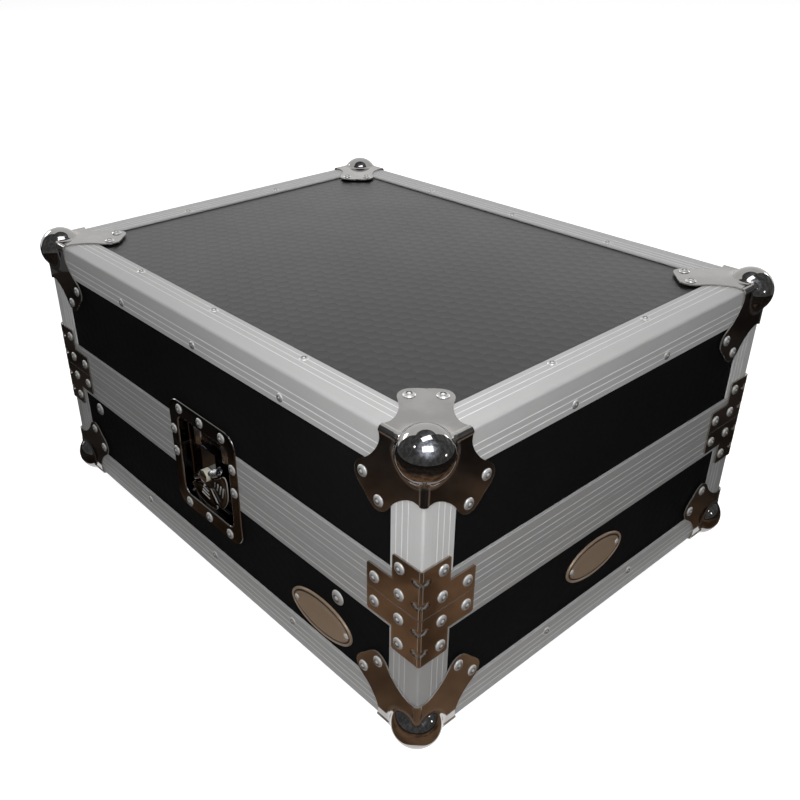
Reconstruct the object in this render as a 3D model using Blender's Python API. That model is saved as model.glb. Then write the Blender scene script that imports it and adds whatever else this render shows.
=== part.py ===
"""A flight case for a DJ mixer: a laminated plywood base and a lid that lifts off, edged in aluminium,
with ball corners, corner braces and a recessed butterfly latch in each long side."""

import math

import bmesh
import bpy
from mathutils import Matrix, Vector

# Overall sizes over the aluminium edging, without the ball corners
CASE_LENGTH = 0.533
CASE_WIDTH = 0.416
BODY_HEIGHT = 0.259
SEAM_HEIGHT = 0.124

# Fits between pieces that touch
FIT_GAP = 0.0003
SEAM_GAP = 0.0003

# Panels, edging and foam
PLY = 0.009
EDGING_WALL = 0.0015
EDGE_FLANGE = 0.030
EDGE_INNER_LEG = 0.0094
EDGE_ROUND = 0.0022
CORNER_FLANGE = 0.030
BASE_VALANCE_FLANGE = 0.026
LID_VALANCE_FLANGE = 0.0275
VALANCE_INNER_LEG = 0.016
VALANCE_WEB = 0.005
TONGUE_WIDTH = 0.0024
TONGUE_HEIGHT = 0.0033
TONGUE_DEPTH_FROM_FACE = 0.0059
FOAM = 0.015
FOAM_SEAM_SETBACK = 0.001

# Ball corners
BALL_RADIUS = 0.020
BALL_INSET = 0.010
PLATE = 0.0012
LEG_RIVET_FAR = 0.058
LEG_RIVET_NEAR = 0.042
LEG_LOBE = 0.008
LEG_FOLD_REACH = 0.043
LEG_SIDE = ((0.043, 0.003), (0.0414, 0.0064), (0.0497, 0.0214), (0.0559, 0.0287))

# Corner braces, measured from the corner edge and from the seam
BRACE_UPRIGHT_WIDTH = 0.0283
BRACE_UPRIGHT_HEIGHT = 0.043
BRACE_WING_REACH = 0.054
BRACE_WING_HEIGHT = 0.0215
BRACE_NOTCH = 0.0015
BRACE_RIVETS = ((0.0195, 0.011), (0.0195, 0.034), (0.0445, 0.011))

# Rivet heads
RIVET_RADIUS = 0.0048
RIVET_HEIGHT = 0.0014

# Badge plates
BADGE_LENGTH = 0.075
BADGE_HEIGHT = 0.0375
BADGE_RIM = 0.0028
BADGE_RIM_HEIGHT = 0.0005
BADGE_RIVET_REACH = 0.031
BADGE_RIVET_RADIUS = 0.0024
FRONT_BADGE_X = 0.156
FRONT_BADGE_HEIGHT = 0.0516
RIGHT_BADGE_Y = 0.0
RIGHT_BADGE_HEIGHT = 0.0664

# Latch dishes, with heights measured from the seam
DISH_HALF_LENGTH = 0.0515
DISH_TOP = 0.046
DISH_BOTTOM = 0.067
DISH_ROUND = 0.014
RECESS_HALF_LENGTH = 0.039
RECESS_TOP = 0.030
RECESS_BOTTOM = 0.052
RECESS_ROUND = 0.008
RECESS_DEPTH = 0.0095
DISH_CUT_GAP = 0.0005
DISH_ROW_SPACING = 0.033
LID_SIDE_RIVET = 0.0135
BASE_SIDE_RIVET = 0.010
HOOK_GUIDE_WIDTH = 0.0014
HOOK_GUIDE_LENGTH = 0.008

# Latch mechanism
SPINDLE_BELOW_SEAM = 0.0145
SPINDLE_RADIUS = 0.0042
SPINDLE_FLANGE_RADIUS = 0.009
SPINDLE_FLANGE = 0.0012
SPINDLE_PROUD = 0.0012
WING_TILT = math.radians(30)
PIN_RADIUS = 0.0013
PIN_DEPTH = 0.0006
PIN_HALF_LENGTH = 0.0245
BUSH_RADIUS = 0.0025
BUSH_START = 0.0122
BUSH_LENGTH = 0.0115
KNUCKLE_RADIUS = 0.0026
KNUCKLE_START = 0.0062
KNUCKLE_LENGTH = 0.0052
WING_THICKNESS = 0.0012
WING_ABOVE_PIN = 0.0004
WING_REACH = 0.0355
WING_TOP = 0.004
WING_SHOULDER = 0.003
WING_LOBE_TOP = -9
WING_LOBE_END = 58
WING_CLEFT = 0.009
WING_CLEFT_WIDTH = 0.009
WING_NOTCH_GAP = 0.0018
HOOK_HALF_WIDTH = 0.011
HOOK_THICKNESS = 0.001
HOOK_BELOW_SPINDLE = 0.0115
HOOK_STROKE = 0.0019
HOOK_RUNNING_GAP = 0.0004
KEEPER_ABOVE_SEAM = 0.0065
KEEPER_THICKNESS = 0.0014
KEEPER_HALF_WIDTH = 0.012

# Torsion spring on the wing's pin
SPRING_WIRE = 0.0009
SPRING_CURLS = 6
SPRING_POINTS = 9
SPRING_PITCH = 0.0015
SPRING_RADIUS = 0.0021
SPRING_LEG = 0.004

# Facets of the round pieces
BALL_SEGMENTS = 20
INNER_BALL_SEGMENTS = 12
RIVET_SIDES = 8
ROUND_STEPS = 3

# Values that follow from the sizes above
BALL_PROUD = BALL_RADIUS - BALL_INSET
BODY_BOTTOM = BALL_PROUD
BODY_TOP = BODY_BOTTOM + BODY_HEIGHT
SEAM = BODY_BOTTOM + SEAM_HEIGHT
SLOT = PLY + 2 * FIT_GAP
INNER_WALL = EDGING_WALL + SLOT
EDGING_DEPTH = INNER_WALL + EDGING_WALL
PANEL_FACE = EDGING_WALL + FIT_GAP
PANEL_BACK = PANEL_FACE + PLY
PLATE_OUTSIDE = FIT_GAP + PLATE
DISH_BACK = RECESS_DEPTH + PLATE
LINING_DEPTH = max(EDGING_DEPTH, DISH_BACK + FIT_GAP + EDGING_WALL)
HALF_LENGTH = CASE_LENGTH / 2
HALF_WIDTH = CASE_WIDTH / 2
KNUCKLE_SWEEP = PIN_DEPTH + max(KNUCKLE_RADIUS, SPRING_RADIUS + SPRING_WIRE / 2)
HOOK_FACE = KNUCKLE_SWEEP + FIT_GAP
HOOK_CLAW = HOOK_STROKE + FIT_GAP - HOOK_RUNNING_GAP
HOOK_TIP = HOOK_FACE + HOOK_THICKNESS + HOOK_CLAW
KEEPER_FACE = HOOK_TIP + HOOK_RUNNING_GAP

# Finishes: colour, roughness, metallic
FINISHES = {
    "laminate": ((0.012, 0.012, 0.013, 1), 0.35, 0.0),
    "aluminium": ((0.62, 0.62, 0.63, 1), 0.38, 1.0),
    "chrome": ((0.55, 0.54, 0.53, 1), 0.12, 1.0),
    "foam": ((0.03, 0.03, 0.032, 1), 0.95, 0.0),
    "badge": ((0.50, 0.50, 0.51, 1), 0.25, 1.0),
    "spring_steel": ((0.45, 0.45, 0.46, 1), 0.25, 1.0),
}


def clear_scene():
    """Removes every object of the scene that is open."""
    for obj in list(bpy.data.objects):
        bpy.data.objects.remove(obj)


def new_collection(name):
    collection = bpy.data.collections.new(name)
    bpy.context.scene.collection.children.link(collection)
    return collection


def finish_material(node, finish):
    """A Principled material for one node."""
    colour, roughness, metallic = FINISHES[finish]
    material = bpy.data.materials.new(node + "_" + finish)
    material.use_nodes = True
    shader = material.node_tree.nodes["Principled BSDF"]
    shader.inputs["Base Color"].default_value = colour
    shader.inputs["Roughness"].default_value = roughness
    shader.inputs["Metallic"].default_value = metallic
    return material


def mesh_from(bm, name):
    bmesh.ops.recalc_face_normals(bm, faces=bm.faces)
    mesh = bpy.data.meshes.new(name)
    bm.to_mesh(mesh)
    bm.free()
    return mesh


def box(low, high):
    """A block between two corners."""
    bm = bmesh.new()
    bmesh.ops.create_cube(bm, size=1)
    low, high = Vector(low), Vector(high)
    size = high - low
    for vertex in bm.verts:
        vertex.co = Vector(a * b for a, b in zip(vertex.co, size)) + (low + high) / 2
    return mesh_from(bm, "block")


def cone(centre, axis, radius, far_radius, length, sides):
    """A cylinder or a blunt cone that starts at centre and runs along axis."""
    bm = bmesh.new()
    bmesh.ops.create_cone(
        bm, cap_ends=True, segments=sides, radius1=radius, radius2=far_radius, depth=length
    )
    axis = Vector(axis).normalized()
    turn = axis.to_track_quat("Z", "Y").to_matrix().to_4x4()
    place = Matrix.Translation(Vector(centre) + axis * length / 2)
    bmesh.ops.transform(bm, matrix=place @ turn, verts=bm.verts)
    return mesh_from(bm, "round")


def ball(centre, radius, segments):
    bm = bmesh.new()
    bmesh.ops.create_uvsphere(bm, u_segments=segments, v_segments=segments // 2, radius=radius)
    bmesh.ops.translate(bm, vec=Vector(centre), verts=bm.verts)
    return mesh_from(bm, "ball")


def mesh_of_curve(curve):
    """The closed mesh of a curve, with its caps welded on."""
    holder = bpy.data.objects.new("outline", curve)
    bpy.context.scene.collection.objects.link(holder)
    evaluated = holder.evaluated_get(bpy.context.evaluated_depsgraph_get())
    mesh = bpy.data.meshes.new_from_object(evaluated)
    bpy.data.objects.remove(holder)
    bpy.data.curves.remove(curve)
    bm = bmesh.new()
    bm.from_mesh(mesh)
    bpy.data.meshes.remove(mesh)
    bmesh.ops.remove_doubles(bm, verts=bm.verts, dist=1e-6)
    return mesh_from(bm, "solid")


def prism(outlines, low, high, first_axis, second_axis):
    """A flat outline, with its holes, on two axes, thickened from low to high along their cross product."""
    curve = bpy.data.curves.new("outline", "CURVE")
    curve.dimensions = "2D"
    curve.fill_mode = "BOTH"
    curve.extrude = (high - low) / 2
    for outline in outlines:
        spline = curve.splines.new("POLY")
        spline.points.add(len(outline) - 1)
        for point, (a, b) in zip(spline.points, outline):
            point.co = (a, b, 0, 1)
        spline.use_cyclic_u = True
    mesh = mesh_of_curve(curve)
    first, second = Vector(first_axis), Vector(second_axis)
    third = first.cross(second)
    turn = Matrix((first, second, third)).transposed().to_4x4()
    mesh.transform(Matrix.Translation(third * (low + high) / 2) @ turn)
    return mesh


def arc(centre_a, centre_b, radius, start, end, steps):
    """Points along an arc, with its angles in degrees."""
    angles = [math.radians(start + (end - start) * i / steps) for i in range(steps + 1)]
    return [(centre_a + radius * math.cos(t), centre_b + radius * math.sin(t)) for t in angles]


def rounded_rectangle(low, high, radius):
    """A rectangle's outline with round corners."""
    (a0, b0), (a1, b1) = low, high
    corners = ((a1, b0, -90), (a1, b1, 0), (a0, b1, 90), (a0, b0, 180))
    points = []
    for a, b, start in corners:
        centre_a = a - radius if a == a1 else a + radius
        centre_b = b - radius if b == b1 else b + radius
        points += arc(centre_a, centre_b, radius, start, start + 90, ROUND_STEPS)
    return points


def rectangle(half_a, half_b):
    return [(-half_a, -half_b), (half_a, -half_b), (half_a, half_b), (-half_a, half_b)]


def rectangular_frame(outer, inner, low, high):
    """A frame round the case between two depths behind its faces."""
    outlines = [
        rectangle(HALF_LENGTH - depth, HALF_WIDTH - depth) for depth in (outer, inner)
    ]
    return prism(outlines, low, high, (1, 0, 0), (0, 1, 0))


def combined(mesh, *steps):
    """The mesh after each step, which is an operation and the mesh to join on or to cut away."""
    target = bpy.data.objects.new("work", mesh)
    cutters.objects.link(target)
    helpers = [target]
    for operation, tool in steps:
        helper = bpy.data.objects.new("cutter", tool)
        cutters.objects.link(helper)
        helper.hide_render = True
        helper.display_type = "WIRE"
        modifier = target.modifiers.new(operation.lower(), "BOOLEAN")
        modifier.operation = operation
        modifier.object = helper
        helpers.append(helper)
    evaluated = target.evaluated_get(bpy.context.evaluated_depsgraph_get())
    result = bpy.data.meshes.new_from_object(evaluated)
    for helper in helpers:
        bpy.data.objects.remove(helper)
    return result


def add_node(name, mesh, finish, parent=None, place=None):
    """A named object of the case, at its place under its parent, with a material of its own."""
    obj = bpy.data.objects.new(name, mesh)
    case.objects.link(obj)
    mesh.shade_smooth()
    mesh.set_sharp_from_angle(angle=math.radians(35))
    material = finish_material(name, finish)
    if not mesh.materials:
        mesh.materials.append(material)
    obj.material_slots[0].link = "OBJECT"
    obj.material_slots[0].material = material
    obj.parent = parent
    obj.matrix_local = place or Matrix.Identity(4)
    return obj


def add_empty(name, parent=None, place=None):
    """A point that carries pieces, such as a joint's axis."""
    empty = bpy.data.objects.new(name, None)
    case.objects.link(empty)
    empty.empty_display_size = 0.02
    empty.parent = parent
    empty.matrix_local = place or Matrix.Identity(4)
    return empty


def turned(angle, location=(0, 0, 0)):
    """A place turned about the vertical by an angle in degrees."""
    return Matrix.Translation(location) @ Matrix.Rotation(math.radians(angle), 4, "Z")


def rivet_head(centre, axis, radius=RIVET_RADIUS, height=RIVET_HEIGHT):
    """A low blunt head, sunk a little into the plate that it stands on."""
    sink = PLATE / 2
    start = Vector(centre) - Vector(axis) * sink
    return cone(start, axis, radius, radius * 0.6, height + sink, RIVET_SIDES)


# Each side of the case: its name, the turn that takes the front there, and its size along the side
SIDES = (
    ("front", 0, CASE_LENGTH, HALF_WIDTH),
    ("right", 90, CASE_WIDTH, HALF_LENGTH),
    ("back", 180, CASE_LENGTH, HALF_WIDTH),
    ("left", 270, CASE_WIDTH, HALF_LENGTH),
)
CORNERS = (
    ("front_left", -1, -1),
    ("front_right", 1, -1),
    ("back_right", 1, 1),
    ("back_left", -1, 1),
)


def side_place(angle, reach, height):
    """The frame of one side: X along it, Y inwards from its face, Z up."""
    inward = Vector((-math.sin(math.radians(angle)), math.cos(math.radians(angle)), 0))
    location = -inward * reach
    return turned(angle, (location.x, location.y, height))


def edge_outline(up):
    """The double angle's section: depth from the face, and height from the outer flange."""
    leg_end = EDGING_DEPTH + EDGE_INNER_LEG
    round_corner = arc(EDGE_ROUND, EDGE_ROUND, EDGE_ROUND, 180, 270, ROUND_STEPS)
    points = round_corner + [
        (EDGE_FLANGE, 0),
        (EDGE_FLANGE, EDGING_WALL),
        (EDGING_DEPTH, EDGING_WALL),
        (EDGING_DEPTH, INNER_WALL),
        (leg_end, INNER_WALL),
        (leg_end, EDGING_DEPTH),
        (EDGING_DEPTH, EDGING_DEPTH),
        (EDGING_DEPTH, leg_end),
        (INNER_WALL, leg_end),
        (INNER_WALL, EDGING_WALL),
        (EDGING_WALL, EDGING_WALL),
        (EDGING_WALL, EDGE_FLANGE),
        (0, EDGE_FLANGE),
    ]
    return [(a, b * up) for a, b in points]


def mitred_bar(outline, length):
    """A bar along X whose ends are cut at 45 degrees, shorter the deeper they lie."""
    half = length / 2
    mesh = prism([outline], -half, half, (0, 1, 0), (0, 0, 1))
    mitre_gap = FIT_GAP / math.sqrt(2)
    for vertex in mesh.vertices:
        end = half - vertex.co.y - mitre_gap
        vertex.co.x = math.copysign(end, vertex.co.x)
    return mesh


def build_edges(lid):
    for name, angle, length, reach in SIDES:
        base_mesh = mitred_bar(edge_outline(1), length)
        base_place = side_place(angle, reach, BODY_BOTTOM)
        add_node(f"base_edge_{name}", base_mesh, "aluminium", None, base_place)
        lid_mesh = mitred_bar(edge_outline(-1), length)
        lid_place = side_place(angle, reach, BODY_TOP - SEAM)
        add_node(f"lid_edge_{name}", lid_mesh, "aluminium", lid, lid_place)


def corner_place(x_side, y_side, height):
    """The frame of a vertical corner: X and Y both point into the case."""
    angles = {(-1, -1): 0, (1, -1): 90, (1, 1): 180, (-1, 1): 270}
    location = (x_side * HALF_LENGTH, y_side * HALF_WIDTH, height)
    return turned(angles[x_side, y_side], location)


def build_corner_angles(lid):
    outline = arc(EDGE_ROUND, EDGE_ROUND, EDGE_ROUND, 180, 270, ROUND_STEPS) + [
        (CORNER_FLANGE, 0),
        (CORNER_FLANGE, EDGING_WALL),
        (EDGING_WALL, EDGING_WALL),
        (EDGING_WALL, CORNER_FLANGE),
        (0, CORNER_FLANGE),
    ]
    low = BODY_BOTTOM + EDGE_FLANGE + FIT_GAP
    high = SEAM - SEAM_GAP / 2 - BASE_VALANCE_FLANGE - FIT_GAP
    base_mesh = prism([outline], low, high, (1, 0, 0), (0, 1, 0))
    lid_low = SEAM_GAP / 2 + LID_VALANCE_FLANGE + FIT_GAP
    lid_high = BODY_TOP - SEAM - EDGE_FLANGE - FIT_GAP
    lid_mesh = prism([outline], lid_low, lid_high, (1, 0, 0), (0, 1, 0))
    for name, x_side, y_side in CORNERS:
        place = corner_place(x_side, y_side, 0)
        add_node(f"base_corner_angle_{name}", base_mesh, "aluminium", None, place)
        add_node(f"lid_corner_angle_{name}", lid_mesh, "aluminium", lid, place)


def latch_cut(low, high, from_depth, to_depth):
    """The blocks taken out of both long sides for the latch dishes, between two heights."""
    half = RECESS_HALF_LENGTH + PLATE + DISH_CUT_GAP
    steps = []
    for side in (-1, 1):
        ends = sorted((side * (HALF_WIDTH - from_depth), side * (HALF_WIDTH - to_depth)))
        steps.append(("DIFFERENCE", box((-half, ends[0], low), (half, ends[1], high))))
    return steps


def build_valances(lid):
    """The two meeting frames of the seam: the groove is in the base's and the tongue under the lid's."""
    reach = max(BASE_VALANCE_FLANGE, LID_VALANCE_FLANGE)
    outside = -PLATE
    seat = SEAM_GAP / 2
    tongue_back = TONGUE_DEPTH_FROM_FACE + TONGUE_WIDTH
    top = SEAM - seat
    low = top - BASE_VALANCE_FLANGE
    groove_low = top - TONGUE_HEIGHT - FIT_GAP
    inner_low = top - VALANCE_INNER_LEG
    base_mesh = combined(
        rectangular_frame(0, LINING_DEPTH, low, top),
        ("DIFFERENCE", rectangular_frame(EDGING_WALL, INNER_WALL, low - PLATE, top - VALANCE_WEB)),
        ("DIFFERENCE", rectangular_frame(INNER_WALL - PLATE, LINING_DEPTH + PLATE, low - PLATE, inner_low)),
        (
            "DIFFERENCE",
            rectangular_frame(
                TONGUE_DEPTH_FROM_FACE - FIT_GAP, tongue_back + FIT_GAP, groove_low, top + PLATE
            ),
        ),
        *latch_cut(low - PLATE, top + PLATE, outside, DISH_BACK + FIT_GAP),
    )
    add_node("base_valance", base_mesh, "aluminium")
    lid_high = seat + LID_VALANCE_FLANGE
    lid_mesh = combined(
        rectangular_frame(0, LINING_DEPTH, seat, lid_high),
        (
            "DIFFERENCE",
            rectangular_frame(EDGING_WALL, INNER_WALL, seat + VALANCE_WEB, lid_high + PLATE),
        ),
        (
            "DIFFERENCE",
            rectangular_frame(
                INNER_WALL - PLATE, LINING_DEPTH + PLATE, seat + VALANCE_INNER_LEG, lid_high + PLATE
            ),
        ),
        ("UNION", rectangular_frame(TONGUE_DEPTH_FROM_FACE, tongue_back, seat - TONGUE_HEIGHT, seat + PLATE)),
        *latch_cut(-reach, lid_high + PLATE, outside, DISH_BACK + FIT_GAP),
    )
    add_node("lid_valance", lid_mesh, "aluminium", lid)


def build_walls(prefix, low, high, parent, dish_low, dish_high):
    """The four wall panels of the base or the lid; the long ones are cut for the latch dishes."""
    long_half = HALF_LENGTH - PANEL_FACE
    short_half = HALF_WIDTH - PANEL_BACK - FIT_GAP
    for name, angle, _, reach in SIDES:
        is_long = name in ("front", "back")
        half = long_half if is_long else short_half
        mesh = box((-half, PANEL_FACE, low), (half, PANEL_BACK, high))
        if is_long:
            cut_half = RECESS_HALF_LENGTH + PLATE + DISH_CUT_GAP
            cut_block = box((-cut_half, -PLATE, dish_low), (cut_half, PANEL_BACK + PLATE, dish_high))
            mesh = combined(mesh, ("DIFFERENCE", cut_block))
        add_node(f"{prefix}_{name}_panel", mesh, "laminate", parent, side_place(angle, reach, 0))


def build_panels(lid):
    outer_x = HALF_LENGTH - EDGING_DEPTH - FIT_GAP
    outer_y = HALF_WIDTH - EDGING_DEPTH - FIT_GAP
    clearance = PLATE + DISH_CUT_GAP
    top = SEAM - SEAM_GAP / 2 - VALANCE_WEB - FIT_GAP
    build_walls("base", BODY_BOTTOM + PANEL_FACE, top, None, SEAM - RECESS_BOTTOM - clearance, SEAM)
    low = BODY_BOTTOM + PANEL_FACE
    floor_panel = box((-outer_x, -outer_y, low), (outer_x, outer_y, low + PLY))
    add_node("base_floor_panel", floor_panel, "laminate")
    lid_low = SEAM_GAP / 2 + VALANCE_WEB + FIT_GAP
    lid_high = BODY_TOP - SEAM - PANEL_FACE
    build_walls("lid", lid_low, lid_high, lid, 0, RECESS_TOP + clearance)
    top_panel = box((-outer_x, -outer_y, lid_high - PLY), (outer_x, outer_y, lid_high))
    add_node("lid_top_panel", top_panel, "laminate", lid)


def build_foam(lid):
    """A tray of foam in the base and one upside down in the lid."""
    outside = LINING_DEPTH + FIT_GAP
    inside = outside + FOAM
    outer = (HALF_LENGTH - outside, HALF_WIDTH - outside)
    inner = (HALF_LENGTH - inside, HALF_WIDTH - inside)
    low = BODY_BOTTOM + EDGING_DEPTH + FIT_GAP
    high = SEAM - FOAM_SEAM_SETBACK
    base_mesh = combined(
        box((-outer[0], -outer[1], low), (outer[0], outer[1], high)),
        ("DIFFERENCE", box((-inner[0], -inner[1], low + FOAM), (inner[0], inner[1], high + FOAM))),
    )
    add_node("base_foam_lining", base_mesh, "foam")
    lid_high = BODY_TOP - SEAM - EDGING_DEPTH - FIT_GAP
    lid_mesh = combined(
        box((-outer[0], -outer[1], FOAM_SEAM_SETBACK), (outer[0], outer[1], lid_high)),
        ("DIFFERENCE", box((-inner[0], -inner[1], -FOAM), (inner[0], inner[1], lid_high - FOAM))),
    )
    add_node("lid_foam_lining", lid_mesh, "foam", lid)


def leg_outline():
    """One leg plate of a ball corner, by its distances from the two edges that it folds round."""
    half = [(LEG_FOLD_REACH, -PLATE_OUTSIDE), *LEG_SIDE]
    half += arc(LEG_RIVET_FAR, LEG_RIVET_NEAR, LEG_LOBE, -40, 45, ROUND_STEPS)
    return [(-PLATE_OUTSIDE, -PLATE_OUTSIDE)] + half + [(b, a) for a, b in reversed(half)]


def ball_corner_mesh():
    """A stamped ball over the case's corner with a leg on each of the three faces."""
    axes = (Vector((1, 0, 0)), Vector((0, 1, 0)), Vector((0, 0, 1)))
    centre = (BALL_INSET, BALL_INSET, BALL_INSET)
    reach = LEG_RIVET_FAR + LEG_LOBE + PLATE
    steps = []
    for index in range(3):
        first, second, outward = axes[index], axes[(index + 1) % 3], -axes[(index + 2) % 3]
        leg = prism([leg_outline()], -PLATE_OUTSIDE, 0, first, second)
        steps.append(("UNION", leg))
        for near, far in ((LEG_RIVET_NEAR, LEG_RIVET_FAR), (LEG_RIVET_FAR, LEG_RIVET_NEAR)):
            top = first * near + second * far + outward * PLATE_OUTSIDE
            steps.append(("UNION", rivet_head(top, outward)))
    steps.append(("DIFFERENCE", ball(centre, BALL_RADIUS - PLATE, INNER_BALL_SEGMENTS)))
    steps.append(("DIFFERENCE", box((-FIT_GAP,) * 3, (reach,) * 3)))
    return combined(ball(centre, BALL_RADIUS, BALL_SEGMENTS), *steps)


def corner_turn(x_side, y_side, z_side):
    """The turn that takes the corner piece, whose axes all point inwards, to one of the eight corners."""
    x_axis, y_axis, z_axis = Vector((-x_side, 0, 0)), Vector((0, -y_side, 0)), Vector((0, 0, -z_side))
    if x_side * y_side * z_side > 0:
        x_axis, y_axis = y_axis, x_axis
    return Matrix((x_axis, y_axis, z_axis)).transposed().to_4x4()


def build_ball_corners(lid):
    mesh = ball_corner_mesh()
    for name, x_side, y_side in CORNERS:
        for level, z_side, height, parent in (
            ("lower", -1, BODY_BOTTOM, None),
            ("upper", 1, BODY_TOP - SEAM, lid),
        ):
            location = (x_side * HALF_LENGTH, y_side * HALF_WIDTH, height)
            place = Matrix.Translation(location) @ corner_turn(x_side, y_side, -1 if z_side < 0 else 1)
            add_node(f"ball_corner_{level}_{name}", mesh, "chrome", parent, place)


def brace_mesh():
    """Half of a corner brace: a plate bent round the corner, with an upright and two wings."""
    outline = [
        (-PLATE_OUTSIDE, SEAM_GAP),
        (BRACE_WING_REACH, SEAM_GAP),
        (BRACE_WING_REACH, BRACE_WING_HEIGHT - BRACE_NOTCH),
        (BRACE_WING_REACH - BRACE_NOTCH, BRACE_WING_HEIGHT),
        (BRACE_UPRIGHT_WIDTH + BRACE_NOTCH, BRACE_WING_HEIGHT),
        (BRACE_UPRIGHT_WIDTH, BRACE_WING_HEIGHT + BRACE_NOTCH),
        (BRACE_UPRIGHT_WIDTH, BRACE_UPRIGHT_HEIGHT - BRACE_NOTCH),
        (BRACE_UPRIGHT_WIDTH - BRACE_NOTCH, BRACE_UPRIGHT_HEIGHT),
        (-PLATE_OUTSIDE, BRACE_UPRIGHT_HEIGHT),
    ]
    x_axis, y_axis, up = Vector((1, 0, 0)), Vector((0, 1, 0)), Vector((0, 0, 1))
    front = prism([outline], FIT_GAP, PLATE_OUTSIDE, x_axis, up)
    side = prism([outline], -PLATE_OUTSIDE, -FIT_GAP, y_axis, up)
    steps = [("UNION", side)]
    for reach, height in BRACE_RIVETS:
        steps.append(("UNION", rivet_head((reach, -PLATE_OUTSIDE, height), -y_axis)))
        steps.append(("UNION", rivet_head((-PLATE_OUTSIDE, reach, height), -x_axis)))
    return combined(front, *steps)


def build_braces(lid):
    mesh = brace_mesh()
    for name, x_side, y_side in CORNERS:
        for level, z_side, parent in (("lower", 1, None), ("upper", -1, lid)):
            height = SEAM if parent is None else 0
            location = (x_side * HALF_LENGTH, y_side * HALF_WIDTH, height)
            place = Matrix.Translation(location) @ corner_turn(x_side, y_side, z_side)
            add_node(f"brace_{level}_{name}", mesh, "chrome", parent, place)


def badge_mesh():
    """An oval plate with a raised rim and two rivets, standing on XZ and facing -Y."""
    sides = 24

    def oval(inset):
        half_a, half_b = BADGE_LENGTH / 2 - inset, BADGE_HEIGHT / 2 - inset
        angles = [2 * math.pi * i / sides for i in range(sides)]
        return [(half_a * math.cos(t), half_b * math.sin(t)) for t in angles]

    x_axis, up, outward = Vector((1, 0, 0)), Vector((0, 0, 1)), Vector((0, -1, 0))
    steps = [
        ("UNION", prism([oval(0), oval(BADGE_RIM)], PLATE / 2, PLATE + BADGE_RIM_HEIGHT, x_axis, up))
    ]
    for side in (-1, 1):
        top = x_axis * side * BADGE_RIVET_REACH + outward * PLATE
        steps.append(("UNION", rivet_head(top, outward, BADGE_RIVET_RADIUS, BADGE_RIM_HEIGHT * 2)))
    return combined(prism([oval(0)], 0, PLATE, x_axis, up), *steps)


def build_badges():
    mesh = badge_mesh()
    depth = PANEL_FACE - FIT_GAP
    front = turned(0, (FRONT_BADGE_X, -HALF_WIDTH + depth, BODY_BOTTOM + FRONT_BADGE_HEIGHT))
    right = turned(90, (HALF_LENGTH - depth, RIGHT_BADGE_Y, BODY_BOTTOM + RIGHT_BADGE_HEIGHT))
    add_node("badge_front", mesh, "badge", None, front)
    add_node("badge_right", mesh, "badge", None, right)


def dish_mesh(is_lid):
    """One part of a latch dish, with X along the case, Y inwards from its face and Z up from the seam."""
    x_axis, up = Vector((1, 0, 0)), Vector((0, 0, 1))
    flange = rounded_rectangle(
        (-DISH_HALF_LENGTH, -DISH_BOTTOM), (DISH_HALF_LENGTH, DISH_TOP), DISH_ROUND
    )
    tub = rounded_rectangle(
        (-RECESS_HALF_LENGTH - PLATE, -RECESS_BOTTOM - PLATE),
        (RECESS_HALF_LENGTH + PLATE, RECESS_TOP + PLATE),
        RECESS_ROUND + PLATE,
    )
    recess = rounded_rectangle(
        (-RECESS_HALF_LENGTH, -RECESS_BOTTOM), (RECESS_HALF_LENGTH, RECESS_TOP), RECESS_ROUND
    )
    far = DISH_HALF_LENGTH + DISH_BOTTOM
    steps = [
        ("UNION", prism([tub], -DISH_BACK, PLATE_OUTSIDE - PLATE / 2, x_axis, up)),
        ("DIFFERENCE", prism([recess], -RECESS_DEPTH, 2 * PLATE_OUTSIDE, x_axis, up)),
    ]
    if is_lid:
        steps.append(("DIFFERENCE", box((-far, -far, -far), (far, far, SEAM_GAP))))
        keeper = box(
            (-KEEPER_HALF_WIDTH, KEEPER_FACE, KEEPER_ABOVE_SEAM),
            (KEEPER_HALF_WIDTH, DISH_BACK - PLATE / 2, KEEPER_ABOVE_SEAM + KEEPER_THICKNESS),
        )
        steps.append(("UNION", keeper))
        row, side_height = (DISH_TOP + RECESS_TOP + PLATE) / 2, LID_SIDE_RIVET
    else:
        steps.append(("DIFFERENCE", box((-far, -far, -SEAM_GAP), (far, far, far))))
        guide_low = -SPINDLE_BELOW_SEAM - HOOK_GUIDE_LENGTH / 2
        for side in (-1, 1):
            near = HOOK_HALF_WIDTH + FIT_GAP
            ends = sorted((side * near, side * (near + HOOK_GUIDE_WIDTH)))
            guide = box(
                (ends[0], HOOK_FACE, guide_low),
                (ends[1], DISH_BACK - PLATE / 2, guide_low + HOOK_GUIDE_LENGTH),
            )
            steps.append(("UNION", guide))
        row, side_height = -(DISH_BOTTOM + RECESS_BOTTOM + PLATE) / 2, -BASE_SIDE_RIVET
    side_reach = (DISH_HALF_LENGTH + RECESS_HALF_LENGTH + PLATE) / 2
    spots = [(x, row) for x in (-DISH_ROW_SPACING, 0, DISH_ROW_SPACING)]
    spots += [(x, side_height) for x in (-side_reach, side_reach)]
    for x, z in spots:
        steps.append(("UNION", rivet_head((x, -PLATE_OUTSIDE, z), (0, -1, 0))))
    return combined(prism([flange], FIT_GAP, PLATE_OUTSIDE, x_axis, up), *steps)


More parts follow.
